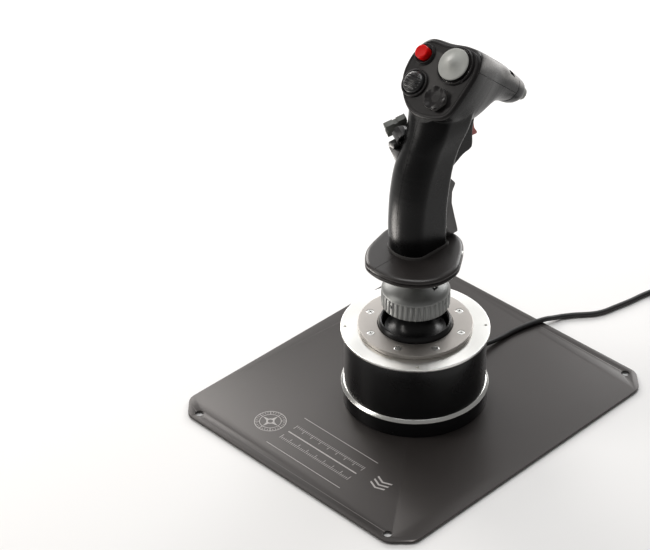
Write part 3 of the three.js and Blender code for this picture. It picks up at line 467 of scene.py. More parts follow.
def coil_points():
    """Nine turns, three to a layer, wound inwards, outwards and inwards again, then a rise to the plug."""
    places = []
    for layer, radii in enumerate((COIL_RADII, COIL_RADII[::-1], COIL_RADII)):
        places += [(radius, layer) for radius in radii]
    places.append((COIL_RADII[-1], 3))
    points = []
    for (radius, layer), (next_radius, next_layer) in zip(places, places[1:]):
        for step in range(TURN_STEPS):
            t = step / TURN_STEPS
            share = eased(max(0, (t - SHIFT_START) / (1 - SHIFT_START)))
            r = radius + (next_radius - radius) * share
            level = layer + (next_layer - layer) * share
            angle = math.pi - TAU * t
            points.append((
                COIL_CENTRE[0] + r * math.cos(angle),
                COIL_CENTRE[1] + r * math.sin(angle),
                COIL_BOTTOM + CORD_DIAMETER * level,
            ))
    plug_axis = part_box("usb_plug")[0].z / MM + PLUG_BODY[2] / 2
    top = COIL_BOTTOM + CORD_DIAMETER * 3
    radius = COIL_RADII[-1]
    for step in range(13):
        angle = math.pi - math.pi / 2 * step / 12
        points.append((
            COIL_CENTRE[0] + radius * math.cos(angle),
            COIL_CENTRE[1] + radius * math.sin(angle),
            top + (plug_axis - top) * eased(step / 12),
        ))
    points.append((COIL_CENTRE[0] + 4.6, COIL_CENTRE[1] + radius, plug_axis))
    return points


def make_cord(with_pieces):
    route = smooth_line(CORD_ROUTE, 120, closed=False) + [Vector(p) for p in coil_points()]
    data = bpy.data.curves.new("usb_cord", "CURVE")
    data.dimensions = "3D"
    data.bevel_depth = CORD_DIAMETER / 2 * MM
    data.bevel_resolution = 4
    data.use_fill_caps = True
    spline = data.splines.new("POLY")
    spline.points.add(len(route) - 1)
    for point, place in zip(spline.points, route):
        point.co = (*(place * MM), 1)
    spline.use_smooth = True
    data.materials.append(LOOKS["rubber"])
    cord = linked("usb_cord", data)
    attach(cord, "base")
    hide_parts("cord", "cord_coil")


def make_plug():
    low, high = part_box("usb_plug")
    place = Matrix.Translation(Vector((low.x, (low.y + high.y) / 2, low.z)) / MM)
    length, width, height = PLUG_BODY

    def plug_block(name, near, far):
        return to_object(name, block(near, far), place)

    outline = [
        (0.2, -3), (4, -4.6), (8, -6.2), (13, -width / 2), (length, -width / 2 + 0.3),
        (length, width / 2 - 0.3), (13, width / 2), (8, 6.2), (4, 4.6), (0.2, 3),
    ]
    body = to_object("plug_body", prism(rounded(outline, 1.6), 0, height), place)
    grooves = []
    for x in (15, 17.5, 20):
        for y in (-width / 2, width / 2):
            grooves.append(plug_block("groove", (x, y - 0.5, -1), (x + 0.8, y + 0.5, 9)))
    boolean(body, "DIFFERENCE", *grooves)
    body = piece(bevelled(body, 0.7), "rubber", "base", "usb_plug")
    reach, shell_width, shell_height = PLUG_SHELL
    middle, side = height / 2, shell_width / 2
    bottom, top = middle - shell_height / 2, middle + shell_height / 2
    shell = plug_block("plug_shell", (length - 2, -side, bottom), (length + reach - 0.1, side, top))
    hollow = plug_block("hollow", (length + 1, -side + PLUG_WALL, bottom + PLUG_WALL),
                        (length + reach + 2, side - PLUG_WALL, top - PLUG_WALL))
    windows = [plug_block("window", (length + 5, y - 1.2, middle), (length + 7.4, y + 1.2, height + 2))
               for y in (-2.7, 2.7)]
    boolean(shell, "DIFFERENCE", hollow, *windows)
    shell = piece(bevelled(shell, 0.12, 2), "plain_steel", "base")
    tongue = plug_block("plug_tongue", (length + 0.5, -side + 0.5, bottom + 0.5),
                        (length + reach - 0.8, side - 0.5, middle - 0.1))
    tongue = piece(bevelled(tongue, 0.15, 2), "black_plastic", "base")
    return [body, shell, tongue]


def make_tie():
    """A strap round the coil's near side."""
    inner, outer, low, high = COIL_RADII[-1] - 2.6, COIL_RADII[0] + 2.25, 0.02, 13.55
    section = rounded([(inner, low), (outer, low), (outer, high), (inner, high)], 1.6)
    inside = rounded([(inner + 0.6, low + 0.5), (outer - 0.5, low + 0.5), (outer - 0.5, high - 0.5),
                      (inner + 0.6, high - 0.5)], 1.3)
    half_width = 3.5
    edges = ((section, -half_width), (section, half_width), (inside, half_width), (inside, -half_width))
    shape = ring_loft([[(r, across, z) for r, z in outline] for outline, across in edges])
    turn = Matrix.Translation((*COIL_CENTRE, 0)) @ Matrix.Rotation(-math.pi / 2, 4, "Z")
    return piece(to_object("coil_tie", shape, turn), "rubber", "base")


make_cord([*make_plug(), make_tie()])

# ---------------------------------------------------------------- plate

PLATE_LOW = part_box("base_plate")[0] / MM
PLATE_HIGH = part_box("base_plate")[1] / MM
PLATE_CORNER = 16
PLATE_HOLE = (106.6, 142.2, 3.4)
MARK_DEPTH = 0.04
MARK_SUNK = 0.02


def make_plate():
    w, d, c = PLATE_HIGH.x, PLATE_HIGH.y, PLATE_CORNER
    corners = [
        (-w + c, -d), (w - c, -d), (w, -d + c), (w, d - c),
        (w - c, d), (-w + c, d), (-w, d - c), (-w, -d + c),
    ]
    plate = to_object("plate", prism(rounded(corners, c / 3, steps=8), PLATE_LOW.z, PLATE_HIGH.z))
    x, y, r = PLATE_HOLE
    holes = [to_object("hole", cylinder(r, -5, 9), Matrix.Translation((side * x, end * y, 0)))
             for side in (-1, 1) for end in (-1, 1)]
    boolean(plate, "DIFFERENCE", *holes)
    piece(bevelled(plate, 0.35), "plate_paint", "base", "base_plate")


def make_plate_marks():
    """Generic printed lines: a round compass rose, a ladder between two rules and three chevrons."""
    low, high = PLATE_HIGH.z - MARK_SUNK, PLATE_HIGH.z + MARK_DEPTH
    parts = []

    def bar(x0, y0, x1, y1):
        parts.append(block((x0, y0, low), (x1, y1, high)))

    def ring(x, y, inner, outer):
        shape = lathe([(inner, low), (outer, low), (outer, high), (inner, high)], 96, closed=True)
        parts.append(moved(shape, Matrix.Translation((x, y, 0))))

    bar(-40.5, -87.2, 42.5, -86.6)
    bar(-40.5, -129.8, 42.5, -129.2)
    rose = (-57.5, -109.0)
    ring(*rose, 12.6, 13.2)
    ring(*rose, 8.6, 9.1)
    ring(*rose, 2.2, 3.4)
    for i in range(32):
        angle = TAU * i / 32
        inner, outer, half = (9.1, 12.6, 0.28) if i % 4 == 0 else (10.6, 12.0, 0.22)
        tick = block((inner, -half, low), (outer, half, high))
        turn = Matrix.Translation((*rose, 0)) @ Matrix.Rotation(angle, 4, "Z")
        parts.append(moved(tick, turn))
    for i in range(4):
        needle = prism([(3.4, -1.3), (8.4, 0), (3.4, 1.3)], low, high)
        turn = Matrix.Translation((*rose, 0)) @ Matrix.Rotation(TAU * i / 4, 4, "Z")
        parts.append(moved(needle, turn))
    for i in range(41):
        x = -37.0 + i * 1.9
        reach = 5.2 if i % 5 == 0 else 2.6
        bar(x - 0.25, -97.5 - reach, x + 0.25, -97.5)
        bar(x - 0.25, -118.5, x + 0.25, -118.5 + reach)
    bar(-37.3, -108.6, 39.3, -107.4)
    for i in range(3):
        y = -110.5 + i * 4.2
        left = [(54, y + 3), (61.5, y), (61.5, y + 1.6), (54, y + 4.6)]
        right = [(61.5, y), (69, y + 3), (69, y + 4.6), (61.5, y + 1.6)]
        parts += [prism(left, low, high), prism(right, low, high)]
    piece(to_object("plate_marks", merged(*parts)), "plate_mark", "base")


make_plate()
make_plate_marks()

# ---------------------------------------------------------------- round base


# the cord gland's own axes: Z points out of the base, away from the pilot
GLAND = Matrix.Translation((0, 0, CORD_ROUTE[0][2])) @ Matrix.Rotation(-math.pi / 2, 4, "X")


def height_of(node):
    low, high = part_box(node)
    return low.z / MM, high.z / MM


def radius_of(node):
    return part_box(node)[1].x / MM


def make_base():
    flange, housing = radius_of("lower_flange"), radius_of("housing_shell")
    inner = housing - 3
    low, high = height_of("lower_flange")
    flange_piece = to_object("flange", lathe(rounded(
        [(inner, low), (flange, low), (flange, high), (inner, high)], 0.5), 160, closed=True))
    gland = to_object("gland", cylinder(5.3, 40, 80, 48), GLAND)
    boolean(flange_piece, "DIFFERENCE", gland)
    piece(flange_piece, "black_paint", "base", "lower_flange")
    low, high = height_of("trim_ring")
    trim = radius_of("trim_ring")
    turned_piece("trim", [(inner, low), (trim, low), (trim, low + 0.9), (housing + 0.3, high), (inner, high)],
                 "polished_trim", "base", "trim_ring", segments=160, cut=0.35)
    low, high = height_of("housing_shell")
    turned_piece("housing", [
        (inner, low), (housing, low), (housing, low + 12), (housing, high - 12), (housing, high),
        (inner, high),
    ], "black_paint", "base", "housing_shell", segments=160)


DISC_HOLES = 56.6  # radius of the circle that the disc's four small holes are on


def make_disc():
    low, high = height_of("top_disc")
    outer = radius_of("top_disc")
    disc = to_object("disc", lathe(rounded(
        [(34.2, low), (outer, low), (outer, high), (34.2, high)], 0.55), 192, closed=True))
    holes = []
    for quarter in range(4):
        angle = TAU * (quarter + 0.5) / 4
        place = Matrix.Translation((DISC_HOLES * math.cos(angle), DISC_HOLES * math.sin(angle), 0))
        holes.append(to_object("hole", lathe([
            (0, high - 2), (1.1, high - 2), (1.1, high - 0.3), (1.5, high + 1), (0, high + 1),
        ], 32), place))
    boolean(disc, "DIFFERENCE", *holes)
    piece(disc, "brushed_disc", "base", "top_disc")


SCREW_CIRCLE = 39.0
SCREW_COUNT = 8


def make_cover():
    low, high = height_of("gimbal_cover")
    outer = radius_of("gimbal_cover")
    cover = to_object("cover", lathe(rounded(
        [(30.5, low), (outer, low), (outer, high), (30.5, high)], 0.55), 160, closed=True))
    sinks = []
    places = []
    for i in range(SCREW_COUNT):
        angle = TAU * (i + 0.5) / SCREW_COUNT
        places.append(Matrix.Translation((SCREW_CIRCLE * math.cos(angle), SCREW_CIRCLE * math.sin(angle), 0))
                      @ Matrix.Rotation(angle * 1.7, 4, "Z"))
        sinks.append(to_object("sink", lathe([
            (0, high - 2.2), (1.65, high - 2.2), (3.25, high - 0.5), (3.25, high - 0.1), (3.5, high + 1),
            (0, high + 1),
        ], 48), places[-1]))
    boolean(cover, "DIFFERENCE", *sinks)
    piece(cover, "satin_ring", "base", "gimbal_cover")
    for i, place in enumerate(places):
        head = [(0, high - 2.6), (1.5, high - 2.6), (1.5, high - 1.8), (3.1, high - 0.45), (3.1, high - 0.15),
                (2.6, high), (0, high)]
        screw = to_object("cover_screw", lathe(rounded(head, 0.2, closed=False, steps=2), 48), place)
        arms = [block((-x, -y, high - 1.1), (x, y, high + 1)) for x, y in ((1.75, 0.34), (0.34, 1.75))]
        boolean(screw, "DIFFERENCE", *[to_object("arm", arm, place) for arm in arms])
        screw.name = f"screw_head_{i + 1}"
        piece(screw, "plain_steel", "base", f"cover_screw_{i + 1}")


PIVOT_HEIGHT = 62


def make_socket_and_dome():
    low, high = height_of("socket_ring")
    turned_piece("socket", [
        (28.2, low), (30.2, low), (30.2, 74.9), (29.9, 76.6), (28.4, high), (27.3, high - 0.4),
        (26.9, high - 2.2), (26.9, 73.7), (28.2, 71.7),
    ], "black_paint", "base", "socket_ring", segments=160, cut=0.7)
    ball, inside = [
        [(radius * math.cos(a), PIVOT_HEIGHT + radius * math.sin(a)) for a in angles]
        for radius, angles in ((26.3, (-0.2, -0.1, 0, 0.1, 0.2, 0.3, 0.36)), (23.3, (0.0, -0.2)))
    ]
    flare = [
        (22.9, 71.25), (20.4, 71.85), (17.4, 73.15), (14.6, 75.3), (12.9, 78.2), (12.1, 81.5), (11.9, 85),
    ]
    neck = [(11.9, 89.2), (13.2, 89.8), (13.2, 91.4), (11.9, 92.0), (11.9, 92.9), (0, 92.9)]
    roof = [(0, 73.5), (11, 73), (15, 72.5), (19.5, 68.3)]
    dome = to_object("dome", lathe([*roof, *inside, *ball, *flare, *neck], 128))
    lugs = [to_object("lug", block((-4, min(s * 7.5, s * 10.5), 57), (4, max(s * 7.5, s * 10.5), 74.5)))
            for s in (-1, 1)]
    boolean(dome, "UNION", *lugs)
    piece(dome, "black_paint", "stick", "pivot_dome")


make_base()
make_disc()
make_cover()
make_socket_and_dome()

# ---------------------------------------------------------------- collar, shaft and hand rest

COLLAR_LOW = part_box("threaded_collar")[0].z / MM
COLLAR_BAND_TOP = COLLAR_LOW + 14.7
COLLAR_RADIUS = 27.4
FLUTES = 40
SHAFT_BORE = 10.5


def make_collar():
    def flutes(radius, height, angle):
        from_bottom, from_top = height - COLLAR_LOW - 0.8, COLLAR_BAND_TOP - 0.5 - height
        fade = min(1, max(0, from_bottom / 0.8), max(0, from_top / 0.6))
        if radius < COLLAR_RADIUS - 1:
            return radius
        wave = math.cos(FLUTES * angle)
        return radius + fade * 0.5 * max(-1, min(1, 1.8 * wave)) - 0.1

    top = COLLAR_BAND_TOP
    profile = [
        (12.3, COLLAR_LOW), (COLLAR_RADIUS - 1.4, COLLAR_LOW), (COLLAR_RADIUS - 0.4, COLLAR_LOW + 0.6),
        (COLLAR_RADIUS, COLLAR_LOW + 1.2), (COLLAR_RADIUS, COLLAR_LOW + 1.9), (COLLAR_RADIUS, top - 1.4),
        (COLLAR_RADIUS, top - 0.7), (COLLAR_RADIUS + 0.2, top - 0.3), (COLLAR_RADIUS + 0.2, top + 0.3),
        (COLLAR_RADIUS - 0.4, top + 1.5), (COLLAR_RADIUS - 1.6, top + 2.9), (COLLAR_RADIUS - 3.8, top + 4.4),
        (COLLAR_RADIUS - 7, top + 5.9), (COLLAR_RADIUS - 11, top + 7.3), (12.6, top + 8.4), (11.8, top + 8.6),
        (10.5, top + 8.6), (10.5, top + 2.5), (12.3, top + 1.5),
    ]
    collar = to_object("collar", lathe(profile, 480, closed=True, reach=flutes))
    slots = (block((14.5, -1.1, top + 4.5), (19.5, 0.9, top + 12)),
             block((17.5, -1.1, top + 3.5), (19.5, 4.6, top + 12)))
    boolean(collar, "DIFFERENCE", *[to_object("slot", slot, Matrix.Rotation(0.1, 4, "Z")) for slot in slots])
    for angle in (-1.6, 0.2, 2.3, 3.8):
        hole = to_object("hole", cylinder(1.5, 25.6, 30, 32),
                         Matrix.Rotation(angle, 4, "Z") @ Matrix.Translation((0, 0, COLLAR_LOW + 9.5))
                         @ Matrix.Rotation(math.pi / 2, 4, "Y"))
        boolean(collar, "DIFFERENCE", hole)
    piece(collar, "collar_metal", "collar", "threaded_collar", sharp=30)


def make_shaft():
    low, high = height_of("grip_shaft")
    turned_piece("shaft", [(0, low), (11.9, low), (11.9, COLLAR_BAND_TOP), (10.2, COLLAR_BAND_TOP + 1),
                           (10.2, 122), (9.7, 122.4), (9.7, 123.4), (10.2, 123.8), (10.2, high), (0, high)],
                 "plain_steel", "stick", "grip_shaft", cut=0.25, segments=96, closed=False)


REST_OUTLINE = [
    (-33.3, 4), (-31, -12), (-24.5, -31), (-12, -45), (0.5, -48.7), (12.5, -48.2), (25, -44.8),
    (38, -35.4), (45, -24), (46.8, -12.5), (45, -0.5), (38, 11.3), (28.2, 24.4), (18, 32.4),
    (6, 34.5), (-9, 31), (-24, 20),
]
# inset from the outline and height of the hand rest's edge, from below to above
REST_EDGE = [
    (5, 0), (3, 0), (1.6, 0.25), (0.6, 0.9), (0.15, 1.7), (0.3, 2.5), (1.0, 3.2), (1.5, 3.45), (1.55, 3.7),
    (0.9, 3.95), (0.3, 4.5), (0.12, 5.3), (0.35, 6.2), (1.1, 7.0), (2.2, 7.5), (3.6, 7.7), (5, 7.7),
]


def inset_loop(outline, distance):
    """A closed outline moved inwards along its own normals."""
    out = []
    count = len(outline)
    for i, point in enumerate(outline):
        along = outline[(i + 1) % count] - outline[i - 1]
        out.append(point + Vector((-along.y, along.x)).normalized() * distance)
    return out


def make_rest():
    bottom = height_of("grip_shell_right")[0] - 7.8
    outline = smooth_line(REST_OUTLINE, 200)
    loops = [[(p.x, p.y, bottom + rise) for p in inset_loop(outline, inset)] for inset, rise in REST_EDGE]
    rest = to_object("rest", loft(loops))
    boss = to_object("boss", lathe([
        (0, 136.5), (14, 136.5), (15.2, 137), (17.2, 138.8), (18.5, 141), (18.5, 143), (0, 143),
    ], 96))
    boolean(rest, "UNION", boss)
    boolean(rest, "DIFFERENCE", to_object("bore", cylinder(SHAFT_BORE, 130, 152, 96)))
    seam = to_object("seam", block((-0.16, -50, bottom + 7.2), (0.16, -24, bottom + 9)))
    boolean(rest, "DIFFERENCE", seam)
    piece(rest, "rest_plastic", "stick", "hand_rest")
    tab = to_object("rest_tab", prism(rounded([(-2.4, -3), (2.4, -3), (2.4, 1.5), (-2.4, 1.5)], 0.8), 0, 1.4),
                    Matrix.Translation((31.5, 17.6, bottom + 5.6)) @ Matrix.Rotation(-0.9, 4, "Z"))
    piece(bevelled(tab, 0.25), "plain_steel", "stick")


make_collar()
make_shaft()
make_rest()

# ---------------------------------------------------------------- grip shells

FACE_CENTRE = Vector((0, 22.3, 286.0))
HEAD = Matrix.Translation(FACE_CENTRE) @ Matrix.Rotation(math.pi / 4, 4, "X")

# height, rear, front, half-width and sideways offset of the handle
HANDLE_SECTIONS = [
    (149.1, -21.4, 19.3, 17.2, 0),
    (166, -22.6, 19.2, 17.5, 0),
    (183, -21.9, 19.2, 17.8, 0),
    (200, -19.9, 21.0, 18.2, 0),
    (218, -15.3, 24.3, 18.6, 0),
    (234, -9.9, 30, 18.2, 1.5),
    (250, -4.2, 38, 19, 3.2),
    (264, 2.0, 44, 21, 1),
]
CREASE_FROM_REAR = 12.5
FRONT_CORNER = 6

FACE_OUTLINE = [
    (22.6, -20.5), (26, 0), (26.2, 19), (19, 32), (6, 33.4), (-10, 30.2), (-27, 27.8), (-34.6, 14),
    (-33.2, -5), (-23, -20.5), (-9, -29), (9, -28),
]
FACE_BOX = (-34.8, 26.6, -29.6, 33.6)
HEAD_DEPTH = 99.5
# depth behind the face, left, right, bottom, top and roundness of the head
HEAD_SECTIONS = [
    (0, -34.8, 26.6, -29.6, 32.2, 0),
    (2.4, -35.6, 27.4, -30.2, 34.4, 0),
    (12, -34.4, 26.6, -31, 37, 0.15),
    (28, -27.5, 23.5, -27, 39.5, 0.35),
    (45, -20, 19, -14, 41.4, 0.6),
    (60, -15.6, 15.6, 8, 42.4, 0.8),
    (78, -12.6, 12.6, 17.4, 42.6, 0.95),
    (90, -11, 11, 20, 42.4, 1),
    (HEAD_DEPTH, -7.6, 7.6, 26.2, 41.4, 1),
]
FACE_STEPS = 120
GRIP_VOXEL = 0.65
GRIP_SMOOTHING = 14


def in_table(table, place):
    """A table's row at any place in its first column, on straight lines between its rows."""
    for before, after in zip(table, table[1:]):
        if place <= after[0]:
            share = (place - before[0]) / (after[0] - before[0])
            return [a + (b - a) * share for a, b in zip(before, after)]
    return list(table[-1])


def handle_loop(row, grow=0.0):
    z, rear, front, half_width, offset = row
    back, nose, w = rear - grow, front + grow, half_width + grow
    crease = back + CREASE_FROM_REAR + grow
    points = []
    for i in range(49):
        angle = math.pi * i / 48
        points.append((-w * math.cos(angle), crease - (crease - back) * math.sin(angle)))
    for side in (1, -1):
        for i in range(13):
            angle = math.pi / 2 * i / 12
            across, along = math.cos(angle), math.sin(angle)
            if side < 0:
                across, along = along, across
            points.append((side * (w - FRONT_CORNER) + side * FRONT_CORNER * across,
                           nose - FRONT_CORNER + FRONT_CORNER * along))
    return [(x + offset, y, z) for x, y in points]


def head_loop(row, grow=0.0):
    """The head's outline at one depth, between the face's own outline and a round one."""
    depth, left, right, bottom, top, roundness = row
    box_left, box_right, box_bottom, box_top = FACE_BOX
    face_middle = ((box_left + box_right) / 2, (box_bottom + box_top) / 2)
    face_half = ((box_right - box_left) / 2, (box_top - box_bottom) / 2)
    middle = ((left + right) / 2, (bottom + top) / 2)
    half = ((right - left) / 2 + grow, (top - bottom) / 2 + grow)
    out = []
    for point in smooth_line(FACE_OUTLINE, FACE_STEPS):
        flat = Vector(((point.x - face_middle[0]) / face_half[0], (point.y - face_middle[1]) / face_half[1]))
        flat = flat.lerp(flat.normalized(), roundness)
        out.append((middle[0] + half[0] * flat.x, middle[1] + half[1] * flat.y, -depth))
    return out


NECK_FRONT = [
    (5, 203), (21, 203), (29, 210), (43, 217.5), (51, 218.5), (53.4, 220.5), (53.4, 226), (53, 236),
    (55, 246), (60, 250), (50, 262), (5, 262),
]


def smoothed_rows(table, count):
    """Evenly spaced rows on smooth curves through a table's rows."""
    rows = []
    first, last = table[0][0], table[-1][0]
    curve = [smooth_line([(row[0], row[k], 0) for row in table], 400, closed=False)
             for k in range(1, len(table[0]))]
    for i in range(count):
        place = first + (last - first) * i / (count - 1)
        rows.append([place] + [min(line, key=lambda p: abs(p.x - place)).y for line in curve])
    return rows


def grip_solid():
    """The whole grip's outside as one smooth body, with softly blended joins."""
    handle = to_object("grip", loft([handle_loop(row) for row in smoothed_rows(HANDLE_SECTIONS, 60)]))
    head = to_object("head", loft([head_loop(row) for row in smoothed_rows(HEAD_SECTIONS, 60)]), HEAD)
    neck = bevelled(to_object("neck", cross_prism(rounded(NECK_FRONT, 3), 9.5)), 3.5, 5)
    boolean(handle, "UNION", head, neck)
    remesh = handle.modifiers.new("remesh", "REMESH")
    remesh.mode = "VOXEL"
    remesh.voxel_size = GRIP_VOXEL * MM
    relax = handle.modifiers.new("relax", "SMOOTH")
    relax.factor = 0.5
    relax.iterations = GRIP_SMOOTHING
    return bake(handle)


SEAM_GAP = 0.3
SEAM_AT_FACE = 19.5
SEAM_AT_NOSE = 31.5
COVER_FRONT = 80
FACE_THICKNESS = 2.0
# growth from the handle's lowest section and height of the rim round its foot
FOOT_RIM = [(0.15, 149.05), (1.5, 149.05), (1.5, 150.2), (1.1, 150.9), (0.15, 150.9)]


def head_block(name, from_depth, to_depth):
    return to_object(name, block((-60, -80, -to_depth), (60, 80, -from_depth)), HEAD)


def above_seam(offset):
    """Everything above the seam between the head's cover and the two shells."""
    reach = 120
    slope = (SEAM_AT_NOSE - SEAM_AT_FACE) / HEAD_DEPTH
    start = SEAM_AT_FACE + offset
    outline = [
        (start - slope * reach, reach), (start + slope * reach, -reach), (reach, -reach), (reach, reach),
    ]
    return to_object("above", cross_prism(outline, 60), HEAD)


def copy_of(obj, name):
    twin = obj.copy()
    twin.data = obj.data.copy()
    twin.name = name
    bpy.context.collection.objects.link(twin)
    return twin


def make_grip():
    grip = grip_solid()
    pocket = cross_prism([(45, 226), (70, 226), (70, 246), (58.5, 250), (56, 257.5), (45, 257.5)], 6.9)
    notch = block((0.5, 38.6, -71.5), (16, 50, -63))
    lever_bay = block((-11.6, 12, 140), (11.6, 40, 210.5))
    cuts = [
        head_block("face_side", -30, FACE_THICKNESS + SEAM_GAP),
        head_block("nose_side", COVER_FRONT + SEAM_GAP, HEAD_DEPTH + 30),
        to_object("pocket", pocket),
        bevelled(to_object("lever_bay", lever_bay), 1.0),
        to_object("notch", notch, HEAD),
        to_object("shaft_bore", cylinder(SHAFT_BORE, 130, 164)),
    ]
    boolean(grip, "DIFFERENCE", *cuts)
    cover = boolean(copy_of(grip, "grip_cover"), "INTERSECT", above_seam(SEAM_GAP / 2))
    boolean(grip, "DIFFERENCE", above_seam(-SEAM_GAP / 2))
    right = boolean(copy_of(grip, "grip_right"), "INTERSECT",
                    to_object("side", block((0.12, -90, 140), (90, 160, 360))))
    left = boolean(grip, "INTERSECT", to_object("side", block((-90, -90, 140), (-0.12, 160, 360))))
    left.name = "grip_left"
    piece(cover, "grip_plastic", "stick", "head_cover", sharp=45)
    piece(right, "grip_plastic", "stick", "grip_shell_right", sharp=45)
    piece(left, "grip_plastic", "stick", "grip_shell_left", sharp=45)
    foot = HANDLE_SECTIONS[0]
    rim = [[(x, y, z) for x, y, _ in handle_loop(foot, grow)] for grow, z in FOOT_RIM]
    piece(to_object("grip_foot_rim", ring_loft(rim)), "face_plastic", "stick")


make_grip()

# ---------------------------------------------------------------- trigger and paddle lever

TRIGGER_OUTLINE = [
    (52.5, 255), (57.3, 246.5), (57.2, 240), (58.2, 233.5), (62.0, 228.4), (61.4, 226.9), (54.6, 227.6),
    (53.6, 233), (53.2, 240), (47.5, 247), (46.5, 252), (48.5, 255.5),
]
PADDLE_FRONT = [(36.2, 150.2), (35.2, 155), (31.8, 167), (28.4, 180), (28.6, 190), (32.2, 196.4)]
PADDLE_BACK = [(30.8, 198.4), (24, 206.2), (20.5, 207), (16.6, 204), (12.8, 170), (12.8, 160), (17, 150.2)]
PADDLE_HOLLOW = [
    (8, 148), (33.6, 148), (32.6, 155), (29.2, 167), (25.8, 180), (26, 190), (28.6, 196), (20.4, 204.4),
    (8, 204.4),
]


def make_levers():
    trigger = to_object("trigger_blade", cross_prism(rounded(TRIGGER_OUTLINE, 2.2, steps=5), 6))
    piece(bevelled(trigger, 0.9, 4), "trigger_red", "trigger", "trigger")
    paddle = to_object("paddle", cross_prism(rounded([*PADDLE_FRONT, *PADDLE_BACK], 1.2, steps=4), 11))
    hollow = to_object("hollow", cross_prism(rounded(PADDLE_HOLLOW, 1.0), 8.8))
    bore = to_object("bore", cylinder(1.8, -20, 20, 32),
                     Matrix.Translation((0, 17, 164)) @ Matrix.Rotation(math.pi / 2, 4, "Y"))
    boolean(paddle, "DIFFERENCE", hollow, bore)
    piece(bevelled(paddle, 0.45, 3), "paddle_paint", "paddle", "paddle_lever")


make_levers()

# ---------------------------------------------------------------- face and its controls

TRIM_HAT = (7.0, 16.6)
SCALLOPED_HAT = (7.6, -12.4)
RIDGED_HAT = (-18.6, -8.2)
RELEASE_BUTTON = (-23.8, 15.2)


def on_face(place):
    return HEAD @ Matrix.Translation((*place, 0))


def polar_cap(radius, height, rings, bottom, segments=192, outline=None):
    """A round cap whose height above the face is a function of radius and angle."""
    loops = []
    for k in range(rings + 1):
        loop = []
        for i in range(segments):
            angle = TAU * i / segments
            r = radius * k / rings * (outline(angle) if outline else 1)
            loop.append((r * math.cos(angle), r * math.sin(angle), height(r, angle)))
        loops.append(loop)
    loops.append([(x, y, bottom) for x, y, _ in loops[-1]])
    return loft(loops)


def clean_cap(name, shape, place):
    cap = to_object(name, shape, on_face(place))
    cleaned(cap.data, merge=True)
    return cap


def stem(top):
    return cylinder(2.8, -5.6, top, 32)


def make_face():
    points = [Vector(p[:2]) for p in head_loop(HEAD_SECTIONS[0])]

    def loop(inset, depth):
        return [(p.x, p.y, -depth) for p in inset_loop(points, inset)]

    plate = to_object("face", loft([
        head_loop(in_table(HEAD_SECTIONS, FACE_THICKNESS)),
        loop(-0.1, 1.1), loop(0.1, 0.6), loop(0.5, 0.2), loop(1.1, 0.0), loop(1.9, 0.0), loop(2.1, 0.25),
        loop(2.7, 0.25), loop(2.9, 0.0), loop(6, 0.0),
    ]), HEAD)
    openings = ((TRIM_HAT, 5.4), (SCALLOPED_HAT, 5.4), (RIDGED_HAT, 5.4), (RELEASE_BUTTON, 6.1))
    holes = [to_object("hole", cylinder(radius, -5, 5, 48), on_face(place)) for place, radius in openings]
    boolean(plate, "DIFFERENCE", *holes)
    piece(plate, "face_plastic", "stick", "face_plate", sharp=30)


def make_trim_hat():
    turned_piece("trim_ring_bezel", [
        (5.4, 0.05), (15.6, 0.05), (15.6, 1.2), (15.1, 1.9), (14.3, 1.9), (14.2, 0.9), (5.4, 0.9),
    ], "face_plastic", "stick", "trim_bezel", cut=0.25, matrix=on_face(TRIM_HAT))
    marks = []
    for i in range(4):
        for k in range(-3, 4):
            inner, outer, half = (13.45, 14.1, 0.16) if k else (13.25, 14.15, 0.5)
            tick = block((inner, -half, 0.86), (outer, half, 0.98))
            marks.append(moved(tick, Matrix.Rotation(TAU * i / 4 + k * 0.12, 4, "Z")))
    piece(to_object("trim_marks", merged(*marks), on_face(TRIM_HAT)), "plate_mark", "stick")
    profile = [
        (0, 3.2), (11.4, 3.2), (12.5, 3.45), (13.0, 3.95), (12.95, 4.5), (12.4, 4.95), (11.0, 5.2),
        (9.2, 5.5), (7.6, 5.95), (6.2, 6.5), (4.9, 7.15), (3.8, 7.85), (2.8, 8.5), (1.9, 9.0), (1.0, 9.25),
        (0, 9.3),
    ]
    hat = to_object("trim_cap", lathe(rounded(profile, 0.3, closed=False, steps=2), 128), on_face(TRIM_HAT))
    boolean(hat, "UNION", to_object("stem", stem(3.8), on_face(TRIM_HAT)))
    piece(hat, "light_grey", "trim_hat", "trim_hat", sharp=50)


def make_ridged_hat():
    turned_piece("ridged_ring", [
        (5.4, 0.05), (11.4, 0.05), (11.4, 1.6), (10.8, 2.2), (9.9, 2.2), (9.7, 0.9), (5.4, 0.9),
    ], "face_plastic", "stick", "ridged_bezel", cut=0.25, matrix=on_face(RIDGED_HAT))

    def height(r, angle):
        y = r * math.sin(angle)
        dome = 2.9 + 3.1 * math.sqrt(max(0, 1 - (r / 8.9) ** 2))
        ribs = 0.5 * max(-1, min(1, 2.2 * math.cos(TAU * y / 2.3)))
        return dome + ribs * max(0, min(1, (7.2 - r) / 1.2))

    hat = clean_cap("ridged_cap", polar_cap(8.8, height, rings=64, bottom=2.4), RIDGED_HAT)
    boolean(hat, "UNION", to_object("stem", stem(3), on_face(RIDGED_HAT)))
    piece(hat, "black_plastic", "ridged_hat", "ridged_hat", sharp=50)


